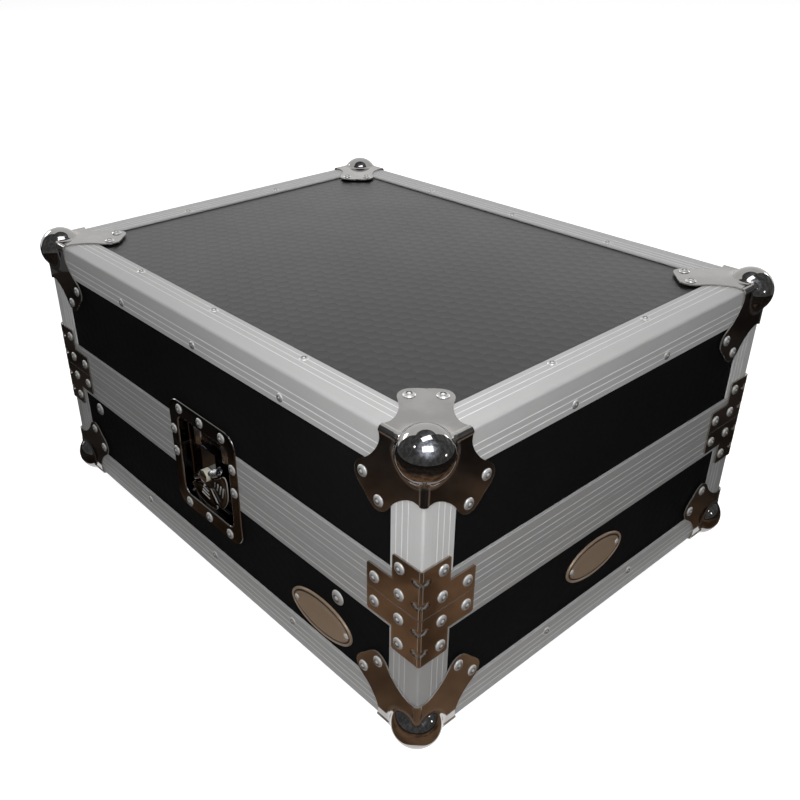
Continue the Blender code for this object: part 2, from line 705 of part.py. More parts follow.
def spindle_mesh():
    """The turning stud, standing out along -Y, with the wing's cross pin along X and its bush."""
    foot = Vector((0, RECESS_DEPTH - FIT_GAP, 0))
    length = foot.y + SPINDLE_PROUD
    outward, across = Vector((0, -1, 0)), Vector((1, 0, 0))
    pin_end = Vector((-PIN_HALF_LENGTH, PIN_DEPTH, 0))
    bush_end = Vector((-BUSH_START - BUSH_LENGTH, PIN_DEPTH, 0))
    flange = cone(foot, outward, SPINDLE_FLANGE_RADIUS, SPINDLE_FLANGE_RADIUS, SPINDLE_FLANGE, 16)
    pin = cone(pin_end, across, PIN_RADIUS, PIN_RADIUS, 2 * PIN_HALF_LENGTH, 10)
    bush = cone(bush_end, across, BUSH_RADIUS, BUSH_RADIUS, BUSH_LENGTH, 12)
    return combined(
        cone(foot, outward, SPINDLE_RADIUS, SPINDLE_RADIUS, length, 16),
        ("UNION", flange),
        ("UNION", pin),
        ("UNION", bush),
    )


def wing_outline():
    """The butterfly blade below the pin, inside its swing circle: two lobes, a cleft and a spindle notch."""
    lobe = arc(0, 0, WING_REACH, WING_LOBE_TOP, -WING_LOBE_END, 5)
    foot = WING_REACH * math.sin(math.radians(WING_LOBE_END))
    right = [(WING_REACH - WING_SHOULDER, -WING_TOP)] + lobe
    right += [
        (WING_CLEFT_WIDTH, -foot),
        (WING_CLEFT_WIDTH / 2, WING_CLEFT / 2 - foot),
        (WING_CLEFT_WIDTH / 4, WING_CLEFT - foot),
    ]
    left = [(-a, b) for a, b in reversed(right)]
    notch = KNUCKLE_START - FIT_GAP
    notch_low = -SPINDLE_RADIUS - WING_NOTCH_GAP
    collar = [(-notch, -WING_TOP), (-notch, notch_low), (notch, notch_low), (notch, -WING_TOP)]
    return right + left + collar


def wing_mesh():
    """The folding wing, with its origin on the pin's axis: a blade and two knuckles round the pin."""
    x_axis, up = Vector((1, 0, 0)), Vector((0, 0, 1))
    blade_high = WING_ABOVE_PIN + WING_THICKNESS
    bore = PIN_RADIUS + FIT_GAP
    tab_low = math.hypot(bore, WING_ABOVE_PIN)
    steps = []
    for side in (-1, 1):
        ends = sorted((side * KNUCKLE_START, side * (KNUCKLE_START + KNUCKLE_LENGTH)))
        tab = box((ends[0], -blade_high, -WING_TOP - PLATE), (ends[1], -WING_ABOVE_PIN, -tab_low))
        barrel = cone((ends[0], 0, 0), x_axis, KNUCKLE_RADIUS, KNUCKLE_RADIUS, KNUCKLE_LENGTH, 12)
        steps += [("UNION", tab), ("UNION", barrel)]
    reach = KNUCKLE_START + KNUCKLE_LENGTH + PLATE
    steps.append(("DIFFERENCE", cone((-reach, 0, 0), x_axis, bore, bore, 2 * reach, 12)))
    return combined(prism([wing_outline()], WING_ABOVE_PIN, blade_high, x_axis, up), *steps)


def hook_mesh():
    """The hook plate round the spindle, whose axis its origin is on, with its claw over the keeper."""
    top = SPINDLE_BELOW_SEAM + KEEPER_ABOVE_SEAM + KEEPER_THICKNESS + HOOK_RUNNING_GAP
    back = HOOK_FACE + HOOK_THICKNESS
    hole = SPINDLE_RADIUS + HOOK_RUNNING_GAP
    low_corner = (-HOOK_HALF_WIDTH, HOOK_FACE, -HOOK_BELOW_SPINDLE)
    claw = box((-HOOK_HALF_WIDTH, HOOK_FACE, top), (HOOK_HALF_WIDTH, HOOK_TIP, top + PLATE))
    return combined(
        box(low_corner, (HOOK_HALF_WIDTH, back, top + PLATE)),
        ("UNION", claw),
        ("DIFFERENCE", cone((0, 0, 0), (0, 1, 0), hole, hole, 2 * back, 16)),
    )


def spring_points():
    """The wire's middle line along the pin's axis, with a straight leg at each end."""
    start = KNUCKLE_START + KNUCKLE_LENGTH + SPRING_WIRE / 2 + FIT_GAP
    count = SPRING_CURLS * SPRING_POINTS
    coil = []
    for i in range(count + 1):
        turn = 2 * math.pi * i / SPRING_POINTS
        along = start + SPRING_PITCH * i / SPRING_POINTS
        coil.append(Vector((along, SPRING_RADIUS * math.cos(turn), SPRING_RADIUS * math.sin(turn))))
    first_leg = coil[0] - Vector((0, 0, SPRING_LEG))
    last_leg = coil[-1] + Vector((0, 0, SPRING_LEG))
    return [first_leg] + coil + [last_leg]


def least_gap(points, wire, apart):
    """The smallest clear distance between stretches of the wire that lie at least so many points apart."""
    gaps = [
        (points[i] - points[j]).length - wire
        for i in range(len(points))
        for j in range(i + apart, len(points))
    ]
    return min(gaps)


def spring_mesh():
    points = spring_points()
    gap = least_gap(points, SPRING_WIRE, SPRING_POINTS // 2 + 1)
    print(f"spring: least gap to itself {gap * 1000:.2f} mm")
    curve = bpy.data.curves.new("spring_wire", "CURVE")
    curve.dimensions = "3D"
    curve.bevel_depth = SPRING_WIRE / 2
    curve.bevel_resolution = 1
    curve.use_fill_caps = True
    spline = curve.splines.new("POLY")
    spline.points.add(len(points) - 1)
    for point, place in zip(spline.points, points):
        point.co = (*place, 1)
    return mesh_of_curve(curve)


def build_latches(lid):
    meshes = {
        "base_dish": dish_mesh(False),
        "lid_dish": dish_mesh(True),
        "spindle": spindle_mesh(),
        "wing": wing_mesh(),
        "hook": hook_mesh(),
        "spring": spring_mesh(),
    }
    for name, angle in (("front", 0), ("back", 180)):
        prefix = f"{name}_latch"
        seat = add_empty(f"{prefix}_seat", None, side_place(angle, HALF_WIDTH, SEAM))
        add_node(f"{prefix}_base_dish", meshes["base_dish"], "chrome", seat)
        lid_place = side_place(angle, HALF_WIDTH, 0)
        add_node(f"{prefix}_lid_dish", meshes["lid_dish"], "chrome", lid, lid_place)
        axis_place = Matrix.Translation((0, 0, -SPINDLE_BELOW_SEAM))
        add_node(f"{prefix}_hook", meshes["hook"], "chrome", seat, axis_place)
        tilt = axis_place @ Matrix.Rotation(-WING_TILT, 4, "Y")
        spindle = add_node(f"{prefix}_spindle", meshes["spindle"], "chrome", seat, tilt)
        pin = Matrix.Translation((0, PIN_DEPTH, 0))
        add_node(f"{prefix}_wing", meshes["wing"], "chrome", spindle, pin)
        add_node(f"{prefix}_spring", meshes["spring"], "spring_steel", spindle, pin)


clear_scene()
case = new_collection("mixer_flight_case")
cutters = new_collection("cutters")
lid_seat = add_empty("lid_seat", None, Matrix.Translation((0, 0, SEAM)))
build_panels(lid_seat)
build_edges(lid_seat)
build_corner_angles(lid_seat)
build_valances(lid_seat)
build_foam(lid_seat)
build_ball_corners(lid_seat)
build_braces(lid_seat)
build_badges()
build_latches(lid_seat)
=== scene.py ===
"""A DJ mixer flight case: black laminate, ribbed edging, plated ball corners and butterfly latches."""

import logging
import math
from collections import Counter
from collections.abc import Callable, Iterator, Sequence
from contextlib import contextmanager
from dataclasses import dataclass
from enum import Enum
from functools import cached_property

import bmesh
import bpy
from mathutils import Matrix, Vector


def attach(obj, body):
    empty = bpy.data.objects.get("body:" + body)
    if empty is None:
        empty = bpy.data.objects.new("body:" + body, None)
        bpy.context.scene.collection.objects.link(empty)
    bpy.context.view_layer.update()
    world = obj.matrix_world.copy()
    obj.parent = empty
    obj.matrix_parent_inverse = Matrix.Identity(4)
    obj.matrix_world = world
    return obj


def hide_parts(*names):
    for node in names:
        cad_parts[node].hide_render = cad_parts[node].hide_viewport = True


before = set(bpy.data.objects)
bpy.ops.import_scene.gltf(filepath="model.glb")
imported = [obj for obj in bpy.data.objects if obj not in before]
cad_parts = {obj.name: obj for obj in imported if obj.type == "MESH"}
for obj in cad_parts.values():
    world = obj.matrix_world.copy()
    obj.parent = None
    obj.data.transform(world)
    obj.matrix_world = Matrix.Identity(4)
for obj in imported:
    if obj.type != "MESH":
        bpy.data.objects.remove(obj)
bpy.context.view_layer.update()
log = logging.getLogger("flight_case")

Point2 = tuple[float, float]
Point3 = tuple[float, float, float]
Colour = tuple[float, float, float]
Spot = tuple[Point3, Point3, float]
Outline = list[tuple[float, ...]]
WHITE = (1, 1, 1, 1)


class Labelled(Enum):
    """Names that also read in lower case."""

    @property
    def label(self) -> str:
        """The name in lower case."""
        return self.name.lower()


class Run(Labelled):
    """The direction that an extruded bar runs in."""

    X = (1, 0, 0)
    Y = (0, 1, 0)
    Z = (0, 0, 1)


class Level(Enum):
    """The two halves of the case."""

    BASE = "base"
    LID = "lid"

    @property
    def up(self) -> int:
        """1 for the half above the seam, -1 for the half below it."""
        return 1 if self is Level.LID else -1


class Side(Labelled):
    """The four upright sides, with the turn in degrees that takes the front there."""

    FRONT = 0
    RIGHT = 90
    BACK = 180
    LEFT = 270

    @property
    def is_long(self) -> bool:
        """Whether this side runs along X."""
        return self in (Side.FRONT, Side.BACK)


class Corner(Labelled):
    """The four upright corners in the order of their turns from the front left, with the signs of X and Y."""

    FRONT_LEFT = (-1, -1)
    FRONT_RIGHT = (1, -1)
    BACK_RIGHT = (1, 1)
    BACK_LEFT = (-1, 1)


# Small helpers


def scaled(tone: Colour, factor: float) -> Colour:
    """A colour times a factor."""
    return tuple(value * factor for value in tone)


def turned(degrees: float, axis: str) -> Matrix:
    """A turn about an axis."""
    return Matrix.Rotation(math.radians(degrees), 4, axis)


def in_scene(name: str, data: bpy.types.ID) -> bpy.types.Object:
    """A new object in the scene.

    Args:
        name: its name.
        data: its mesh, lamp or camera.

    Returns:
        The object.
    """
    made = bpy.data.objects.new(name, data)
    bpy.context.scene.collection.objects.link(made)
    return made


def write_values(mesh: bpy.types.Mesh, name: str, values: Sequence[float]) -> None:
    """Writes a value on each point, under a name that a finish reads."""
    mesh.attributes.new(name, "FLOAT", "POINT").data.foreach_set("value", values)


# Expressions on node sockets


class Signal:
    """One output socket in an expression: arithmetic on it adds Math nodes."""

    def __init__(self, tree: "Tree", socket: bpy.types.NodeSocket) -> None:
        """Wraps a socket of a tree.

        Args:
            tree: the tree that the socket is in.
            socket: the output socket.
        """
        self.tree = tree
        self.socket = socket

    def maths(self, operation: str, *terms: "Signal | float") -> "Signal":
        """Adds one Math node.

        Args:
            operation: the node's operation.
            terms: its inputs in order.

        Returns:
            The node's result.
        """
        return self.tree.node("ShaderNodeMath", {"operation": operation}, dict(enumerate(terms)))

    def __add__(self, other: "Signal | float") -> "Signal":
        """This plus other."""
        return self.maths("ADD", self, other)

    def __radd__(self, other: float) -> "Signal":
        """Other plus this."""
        return self.maths("ADD", other, self)

    def __sub__(self, other: "Signal | float") -> "Signal":
        """This less other."""
        return self.maths("SUBTRACT", self, other)

    def __rsub__(self, other: float) -> "Signal":
        """Other less this."""
        return self.maths("SUBTRACT", other, self)

    def __mul__(self, other: "Signal | float") -> "Signal":
        """This times other."""
        return self.maths("MULTIPLY", self, other)

    def __rmul__(self, other: float) -> "Signal":
        """Other times this."""
        return self.maths("MULTIPLY", other, self)

    def __truediv__(self, other: "Signal | float") -> "Signal":
        """This over other."""
        return self.maths("DIVIDE", self, other)

    def __rtruediv__(self, other: float) -> "Signal":
        """Other over this."""
        return self.maths("DIVIDE", other, self)

    def between(self, low: float, high: float) -> "Signal":
        """How far this is from low to high, smoothly and kept from 0 to 1.

        Args:
            low: where the result is 0.
            high: where the result is 1.

        Returns:
            The smooth step.
        """
        return self.tree.node(
            "ShaderNodeMapRange",
            {"interpolation_type": "SMOOTHSTEP"},
            {"Value": self, "From Min": low, "From Max": high},
        )


class Tree:
    """A node tree that is written as expressions."""

    def __init__(self, tree: bpy.types.NodeTree) -> None:
        """Takes over a tree.

        Args:
            tree: a shader's or a modifier's node tree.
        """
        self.tree = tree

    def node(
        self,
        kind: str,
        settings: dict[str, object] | None = None,
        inputs: dict[str | int, object] | None = None,
        output: str | int = 0,
    ) -> Signal:
        """Adds a node.

        Args:
            kind: the node's type.
            settings: its properties, with a ramp's stops as pairs of place and colour.
            inputs: values or signals by the socket's name or number; a list links each of its signals.
            output: the name or number of the output to hand back.

        Returns:
            That output.
        """
        made = self.tree.nodes.new(kind)
        for name, value in (settings or {}).items():
            if name == "stops":
                self.set_stops(made.color_ramp, value)
            else:
                setattr(made, name, value)
        for key, value in (inputs or {}).items():
            for term in value if isinstance(value, list) else [value]:
                if isinstance(term, Signal):
                    self.tree.links.new(term.socket, made.inputs[key])
                else:
                    made.inputs[key].default_value = term
        return Signal(self, made.outputs[output])

    @staticmethod
    def set_stops(ramp: bpy.types.ColorRamp, stops: Sequence[tuple[float, Colour]]) -> None:
        """Gives a colour ramp its stops.

        Args:
            ramp: the ramp.
            stops: the place and the colour of each.
        """
        while len(ramp.elements) < len(stops):
            ramp.elements.new(1)
        for element, (place, colour) in zip(ramp.elements, stops):
            element.position = place
            element.color = (*colour, 1)

    def mix_colour(self, factor: Signal | float, first: object, second: object) -> Signal:
        """A blend of two colours.

        Args:
            factor: 0 for the first, 1 for the second.
            first: a signal or a colour of three values.
            second: likewise.

        Returns:
            The blend.
        """
        ends = [end if isinstance(end, Signal) else (*end, 1) for end in (first, second)]
        inputs = {0: factor, 6: ends[0], 7: ends[1]}
        return self.node("ShaderNodeMix", {"data_type": "RGBA"}, inputs, 2)

    def noise(self, place: Signal, scale: float, detail: float = 2, rough: float = 0.5) -> Signal:
        """Cloudy noise.

        Args:
            place: the coordinates.
            scale: how fine it is.
            detail: how many finer layers it has.
            rough: how strong those layers are.

        Returns:
            Values around a half.
        """
        inputs = {"Vector": place, "Scale": scale, "Detail": detail, "Roughness": rough}
        return self.node("ShaderNodeTexNoise", None, inputs)

    def stretched(self, place: Signal, scale: Point3) -> Signal:
        """Coordinates with a scale of their own on each axis.

        Args:
            place: the coordinates.
            scale: the three factors.

        Returns:
            The new coordinates.
        """
        return self.node("ShaderNodeMapping", None, {"Vector": place, "Scale": scale})

    def attribute(self, name: str) -> Signal:
        """The value that the mesh's points have under a name."""
        return self.node("ShaderNodeAttribute", {"attribute_name": name}, output="Fac")

    def bump(self, strength: float, distance: float, height: Signal) -> Signal:
        """A normal that follows a height.

        Args:
            strength: how much of it shows, from 0 to 1.
            distance: how high a height of 1 is, in metres.
            height: the height.

        Returns:
            The normal.
        """
        inputs = {"Strength": strength, "Distance": distance, "Height": height}
        return self.node("ShaderNodeBump", None, inputs)


class ModifierTree(Tree):
    """A Geometry Nodes group with named inputs, which grows a plain mesh from a base mesh."""

    def __init__(self, name: str) -> None:
        """Makes an empty group.

        Args:
            name: the group's name.
        """
        group = bpy.data.node_groups.new(name, "GeometryNodeTree")
        group.is_modifier = True
        for way in ("INPUT", "OUTPUT"):
            group.interface.new_socket("Geometry", in_out=way, socket_type="NodeSocketGeometry")
        super().__init__(group)
        self.source = group.nodes.new("NodeGroupInput")
        self.base = Signal(self, self.source.outputs[0])

    def given(self, name: str, kind: str = "Float") -> Signal:
        """Adds a named input.

        Args:
            name: its name.
            kind: the last part of the socket's type.

        Returns:
            Its value inside the tree.
        """
        self.tree.interface.new_socket(name, in_out="INPUT", socket_type="NodeSocket" + kind)
        return Signal(self, self.source.outputs[name])

    def end(self, geometry: Signal) -> None:
        """Ends the tree in Realize Instances and Set Material.

        Args:
            geometry: what the tree makes.
        """
        finish = self.given("Finish", "Material")
        whole = self.node("GeometryNodeRealizeInstances", None, {"Geometry": geometry})
        dressed = self.node("GeometryNodeSetMaterial", None, {"Geometry": whole, "Material": finish})
        self.tree.links.new(dressed.socket, self.tree.nodes.new("NodeGroupOutput").inputs[0])

    def grow(self, base: bpy.types.Mesh, values: dict[str, object]) -> bpy.types.Mesh:
        """Runs the tree.

        Args:
            base: the mesh that the modifier stands on.
            values: the named inputs.

        Returns:
            The result as a plain mesh.
        """
        holder = in_scene("grow", base)
        modifier = holder.modifiers.new("grow", "NODES")
        modifier.node_group = self.tree
        for item in self.tree.interface.items_tree:
            if item.in_out == "INPUT" and item.name in values:
                modifier[item.identifier] = values[item.name]
        graph = bpy.context.evaluated_depsgraph_get()
        made = bpy.data.meshes.new_from_object(holder.evaluated_get(graph), depsgraph=graph)
        bpy.data.objects.remove(holder)
        return made


# Finishes


@dataclass(frozen=True)
class Finish:
    """A finish, whose material is made once."""

    name: str

    @cached_property
    def material(self) -> bpy.types.Material:
        """The Blender material.

        Returns:
            The material, made when it is first asked for.
        """
        made = bpy.data.materials.new(self.name)
        made.use_nodes = True
        tree = Tree(made.node_tree)
        shader = made.node_tree.nodes["Principled BSDF"]
        place = tree.node("ShaderNodeTexCoord", output="Object")
        for socket, value in self.sockets(tree, place).items():
            if isinstance(value, Signal):
                made.node_tree.links.new(value.socket, shader.inputs[socket])
            else:
                shader.inputs[socket].default_value = value
        return made

    def sockets(self, tree: Tree, place: Signal) -> dict[str, object]:
        """The shader's sockets.

        Args:
            tree: the material's tree.
            place: Object coordinates.

        Returns:
            A value or a signal for each socket that isn't left at its default.
        """
        raise NotImplementedError


@dataclass(frozen=True)
class Anodised(Finish):
    """Satin anodised extrusion, drawn along one direction."""

    run: Run
    tone: float
    line_gain: float = 1.6

    def sockets(self, tree: Tree, place: Signal) -> dict[str, object]:
        """Drawn lines along the bar, cloudy patches of satin, and ribs with a painted highlight.

        Args:
            tree: the material's tree.
            place: Object coordinates.

        Returns:
            The shader's sockets.
        """
        rib = tree.attribute("rib")
        drawn = tree.stretched(place, tuple(2.5 if axis else 900.0 for axis in self.run.value))
        lines = tree.noise(drawn, 1, 3, 0.6)
        cloud = tree.noise(place, 17, 4, 0.6)
        scuffs = tree.noise(place, 210, 5, 0.65).between(0.6, 0.8)
        light = (self.tone, self.tone, self.tone * 0.995)
        colour = tree.mix_colour(lines * 0.65 + cloud * 0.35, scaled(light, 0.86), light)
        worn = tree.mix_colour(scuffs * 0.18, colour, scaled(light, 0.7))
        # Painted highlight: the ribs' tops take a lighter colour than the rest of the bar.
        bright = tuple(min(value, 0.95) for value in scaled(light, self.line_gain))
        return {
            "Base Color": tree.mix_colour(rib, worn, bright),
            "Metallic": 0.0,
            "Roughness": 0.38 + 0.1 * cloud + 0.06 * lines - 0.12 * rib,
            "Specular IOR Level": 0.3,
            "Normal": tree.bump(0.12, 0.0002, lines * 0.8 + scuffs * 0.3),
        }


@dataclass(frozen=True)
class Plated(Finish):
    """Dark mirror plating over pressed steel."""

    tone: Colour
    ripple: float
    haze: float = 0.0

    def sockets(self, tree: Tree, place: Signal) -> dict[str, object]:
        """A polish with soft ripples in the steel, faint smears, a few specks and painted highlights where
        the mesh marks them.

        Args:
            tree: the material's tree.
            place: Object coordinates.

        Returns:
            The shader's sockets.
        """
        smear = tree.noise(place, 60, 4, 0.6)
        specks = tree.noise(place, 700, 2, 0.5).between(0.7, 0.78)
        wave = tree.noise(place, 45, 1, 0.4)
        clouded = tree.noise(place, 30, 3, 0.55).between(0.4, 0.7)
        colour = tree.mix_colour(clouded, scaled(self.tone, 0.82), self.tone)
        bloom = tree.mix_colour(specks * 0.25, colour, scaled(self.tone, 0.6))
        # Painted highlight: where the mesh marks it, the plating turns paler and less metallic.
        worn = tree.attribute("worn")
        return {
            "Base Color": tree.mix_colour(worn, bloom, (0.6, 0.57, 0.52)),
            "Metallic": 1.0 - worn * 0.6,
            "Roughness": 0.05 + self.haze + 0.08 * smear.between(0.45, 0.8),
            "Normal": tree.bump(self.ripple, 0.002, wave),
        }


@dataclass(frozen=True)
class Laminate(Finish):
    """Black laminate with a fine leathery grain and a little dust."""

    gloss: float
    veil: float
    grey: float = 1.0

    def sockets(self, tree: Tree, place: Signal) -> dict[str, object]:
        """A grain of tiny pebbles, paler dust and patchy gloss.

        Args:
            tree: the material's tree.
            place: Object coordinates.

        Returns:
            The shader's sockets.
        """
        pebbles = tree.node("ShaderNodeTexVoronoi", None, {"Vector": place, "Scale": 1400})
        cloud = tree.noise(place, 9, 4, 0.6)
        dust = tree.noise(place, 900, 3, 0.6).between(0.68, 0.8)
        deep, raised = scaled((0.0045, 0.0045, 0.0045), self.grey), scaled((0.0085, 0.0085, 0.009), self.grey)
        black = tree.mix_colour(cloud, deep, raised)
        height = pebbles * 0.7 + tree.noise(place, 2600, 2) * 0.5
        return {
            "Base Color": tree.mix_colour(dust * 0.35, black, (0.05, 0.05, 0.052)),
            "Roughness": self.gloss + 0.12 * cloud,
            "Specular IOR Level": self.veil,
            "Normal": tree.bump(0.25, 0.0002, height),
        }


@dataclass(frozen=True)
class Steel(Finish):
    """Bright metal of small parts, such as rivets, wire and stamped plates."""

    tone: Colour
    polish: float
    grain: Point3
    shade: float = 0.8
    metal: float = 1.0

    def sockets(self, tree: Tree, place: Signal) -> dict[str, object]:
        """A brushed or tumbled grain, with painted shade on faces that look down, and a painted shade ring
        and painted highlights where the mesh marks them.

        Args:
            tree: the material's tree.
            place: Object coordinates.

        Returns:
            The shader's sockets.
        """
        grain = tree.noise(tree.stretched(place, self.grain), 1, 3, 0.6)
        cloud = tree.noise(place, 90, 3)
        # Painted shade on faces that look down, then the head's painted shade ring and painted highlights.
        sky = tree.attribute("sky").between(-0.55, 0.55)
        lift = tree.attribute("lift")
        grained = tree.mix_colour(grain * 0.6 + cloud * 0.4, scaled(self.tone, 0.85), self.tone)
        painted_shade = tree.mix_colour((lift * -1).between(0, 1), grained, scaled(self.tone, 0.16))
        polished = tree.mix_colour(lift.between(0, 1), painted_shade, (0.95, 0.95, 0.93))
        return {
            "Base Color": tree.mix_colour(sky, scaled(self.tone, self.shade), polished),
            "Metallic": self.metal,
            "Roughness": self.polish + 0.08 * cloud + 0.05 * grain,
            "Normal": tree.bump(0.1, 0.0002, grain),
        }


@dataclass(frozen=True)
class Moulded(Finish):
    """A plain moulded or painted surface with a fine texture."""

    colour: Colour
    roughness: float
    cells: float
    relief: float

    def sockets(self, tree: Tree, place: Signal) -> dict[str, object]:
        """Small cells or moulding texture, with a slight change of tone.

        Args:
            tree: the material's tree.
            place: Object coordinates.

        Returns:
            The shader's sockets.
        """
        cells = tree.node("ShaderNodeTexVoronoi", None, {"Vector": place, "Scale": self.cells})
        cloud = tree.noise(place, self.cells / 12, 4, 0.6)
        return {
            "Base Color": tree.mix_colour(cloud * 0.6 + cells * 0.4, scaled(self.colour, 0.72), self.colour),
            "Roughness": self.roughness + 0.08 * cloud,
            "Normal": tree.bump(self.relief, 0.0004, cells + cloud * 0.5),
        }


class Finishes:
    """Every finish of the case."""

    # The extrusions are one aluminium in lit and shaded copies: their tones and rib highlights differ by
    # place as painted light and shade, the lid's uprights lightest and the seam frames darkest.
    edging = {run: Anodised(f"edging_{run.label}", run, 0.56) for run in Run}
    seam = {run: Anodised(f"seam_edging_{run.label}", run, 0.38) for run in Run}
    foot = {run: Anodised(f"foot_edging_{run.label}", run, 0.45) for run in Run}
    upright = {
        Level.LID: Anodised("upper_upright_edging", Run.Z, 0.69, 1.3),
        Level.BASE: Anodised("lower_upright_edging", Run.Z, 0.41, 1.5),
    }
    plating = Plated("smoked_plating", (0.42, 0.38, 0.34), 0.1, 0.01)
    corner_plating = Plated("corner_plating", (0.36, 0.35, 0.34), 0.05)
    # The dish, wing and hook plating is the same plating in darker copies: painted shade for the recess and
    # the parts in it.
    dish_plating = Plated("dish_plating", (0.085, 0.08, 0.076), 0.08)
    wing_plating = Plated("wing_plating", (0.015, 0.015, 0.02), 0.04)
    polished = Plated("polished_plating", (0.2, 0.2, 0.21), 0.04)
    top_laminate = Laminate("top_laminate", 0.28, 0.42)
    side_laminate = Laminate("side_laminate", 0.4, 0.004, 1.5)
    rivet = Steel("rivet_metal", (0.68, 0.68, 0.67), 0.17, (500, 500, 500), 0.35, 0.4)
    wire = Steel("spring_wire", (0.7, 0.7, 0.69), 0.14, (300, 300, 300), 0.4)
    badge = Steel("badge_metal", (0.4, 0.3, 0.21), 0.3, (900, 900, 30), 0.8, 0.3)
    enamel = Moulded("badge_enamel", (0.02, 0.02, 0.022), 0.25, 1500, 0.05)
    nylon = Moulded("cream_nylon", (0.82, 0.8, 0.66), 0.42, 900, 0.08)
    foam = Moulded("foam", (0.028, 0.028, 0.031), 0.9, 850, 0.6)


# Meshes


def mesh_of(name: str, points: Sequence[Sequence[float]], faces: Sequence[Sequence[int]]) -> bpy.types.Mesh:
    """A mesh from its points and faces.

    Args:
        name: the mesh's name.
        points: places in metres.
        faces: the numbers of each face's points.

    Returns:
        The mesh.
    """
    mesh = bpy.data.meshes.new(name)
    mesh.from_pydata([tuple(point) for point in points], [], [tuple(face) for face in faces])
    return mesh


@contextmanager
def edited(mesh: bpy.types.Mesh) -> Iterator[bmesh.types.BMesh]:
    """Opens a mesh for editing and writes it back at the end.

    Args:
        mesh: the mesh, which is changed.

    Yields:
        Its points, edges and faces.
    """
    work = bmesh.new()
    work.from_mesh(mesh)
    yield work
    work.to_mesh(mesh)
    work.free()


def tidied(mesh: bpy.types.Mesh, merge: float = 1e-6) -> bpy.types.Mesh:
    """Merges the doubles of a mesh and turns its faces outwards.

    Args:
        mesh: the mesh, which is changed.
        merge: how near two points are to become one.

    Returns:
        The same mesh.
    """
    with edited(mesh) as work:
        bmesh.ops.remove_doubles(work, verts=work.verts, dist=merge)
        bmesh.ops.dissolve_degenerate(work, edges=work.edges, dist=merge)
        bmesh.ops.recalc_face_normals(work, faces=work.faces)
    return mesh


def with_modifiers(mesh: bpy.types.Mesh, *modifiers: tuple[str, dict[str, object]]) -> bpy.types.Mesh:
    """Applies modifiers to a mesh.

    Args:
        mesh: the mesh, which is used up.
        modifiers: the type and the settings of each.

    Returns:
        The new mesh.
    """
    holder = in_scene("work", mesh)
    for kind, settings in modifiers:
        modifier = holder.modifiers.new(kind.lower(), kind)
        for name, value in settings.items():
            setattr(modifier, name, value)
    graph = bpy.context.evaluated_depsgraph_get()
    made = bpy.data.meshes.new_from_object(holder.evaluated_get(graph), depsgraph=graph)
    bpy.data.objects.remove(holder)
    return made


def loft(loops: Sequence[Sequence[Point3]], capped: bool = True) -> tuple[list[Point3], list[list[int]]]:
    """A skin over closed loops of equal length.

    Args:
        loops: the loops in order.
        capped: whether the first and last loops are filled.

    Returns:
        Points and faces.
    """
    count = len(loops[0])
    points = [point for loop in loops for point in loop]
    faces = []
    for row in range(len(loops) - 1):
        for i in range(count):
            j = (i + 1) % count
            low, high = row * count, (row + 1) * count
            faces.append([low + i, low + j, high + j, high + i])
    if capped:
        last = (len(loops) - 1) * count
        faces += [list(range(count)), list(range(last, last + count))]
    return points, faces


def lathe(profile: Sequence[Point2], sides: int, capped: bool = True) -> bpy.types.Mesh:
    """A turned solid about Z.

    Args:
        profile: pairs of radius and height, from one pole to the other.
        sides: how many facets go round.
        capped: whether its ends are closed, which a ring's profile that ends where it starts doesn't need.

    Returns:
        The closed mesh.
    """
    angles = [2 * math.pi * i / sides for i in range(sides)]
    loops = [[(r * math.cos(t), r * math.sin(t), height) for t in angles] for r, height in profile]
    return tidied(mesh_of("turned", *loft(loops, capped)))


def arc(centre: Point2, radius: float, start: float, end: float, steps: int) -> list[Point2]:
    """Points along an arc.

    Args:
        centre: its centre.
        radius: its radius.
        start: the first angle in degrees.
        end: the last angle in degrees.
        steps: how many parts it has.

    Returns:
        The points.
    """
    angles = [math.radians(start + (end - start) * i / steps) for i in range(steps + 1)]
    return [(centre[0] + radius * math.cos(t), centre[1] + radius * math.sin(t)) for t in angles]


def spline_through(points: Sequence[Point2], steps: int) -> list[Point2]:
    """A smooth open curve through points.

    Args:
        points: what it goes through.
        steps: how many parts each stretch has.

    Returns:
        The points of the curve.
    """
    held = [points[0], *points, points[-1]]
    made = []
    for i in range(len(points) - 1):
        for t in (k / steps for k in range(steps)):
            place = []
            for a, b, c, d in zip(*held[i : i + 4]):
                square, cube = 2 * a - 5 * b + 4 * c - d, 3 * b - a - 3 * c + d
                place.append(0.5 * (2 * b + (c - a) * t + square * t**2 + cube * t**3))
            made.append(tuple(place))
    return [*made, tuple(points[-1])]


def smooth_step(value: float) -> float:
    """A smooth rise from 0 to 1."""
    value = min(1.0, max(0.0, value))
    return value * value * (3 - 2 * value)


def rounded_loop(half: float, low: float, high: float, radius: float, depth: float) -> list[Point3]:
    """A rectangle with round corners on XZ, whose straight stretches are cut into parts.

    Args:
        half: half its length.
        low: its lowest Z.
        high: its highest Z.
        radius: the corners' radius.
        depth: its Y.

    Returns:
        The loop, which has as many points for every size.
    """
    turns, parts = 8, 10
    centres = ((half, low, -90), (half, high, 0), (-half, high, 90), (-half, low, 180))
    outline: list[Point2] = []
    for x, z, start in centres:
        middle = (x - math.copysign(radius, x), z + radius if z == low else z - radius)
        outline += arc(middle, radius, start, start + 90, turns)
    made = []
    for i, (x, z) in enumerate(outline):
        made.append((x, depth, z))
        if i % (turns + 1) == turns:
            ahead = outline[(i + 1) % len(outline)]
            for k in range(1, parts):
                share = k / parts
                made.append((x + (ahead[0] - x) * share, depth, z + (ahead[1] - z) * share))
    return made


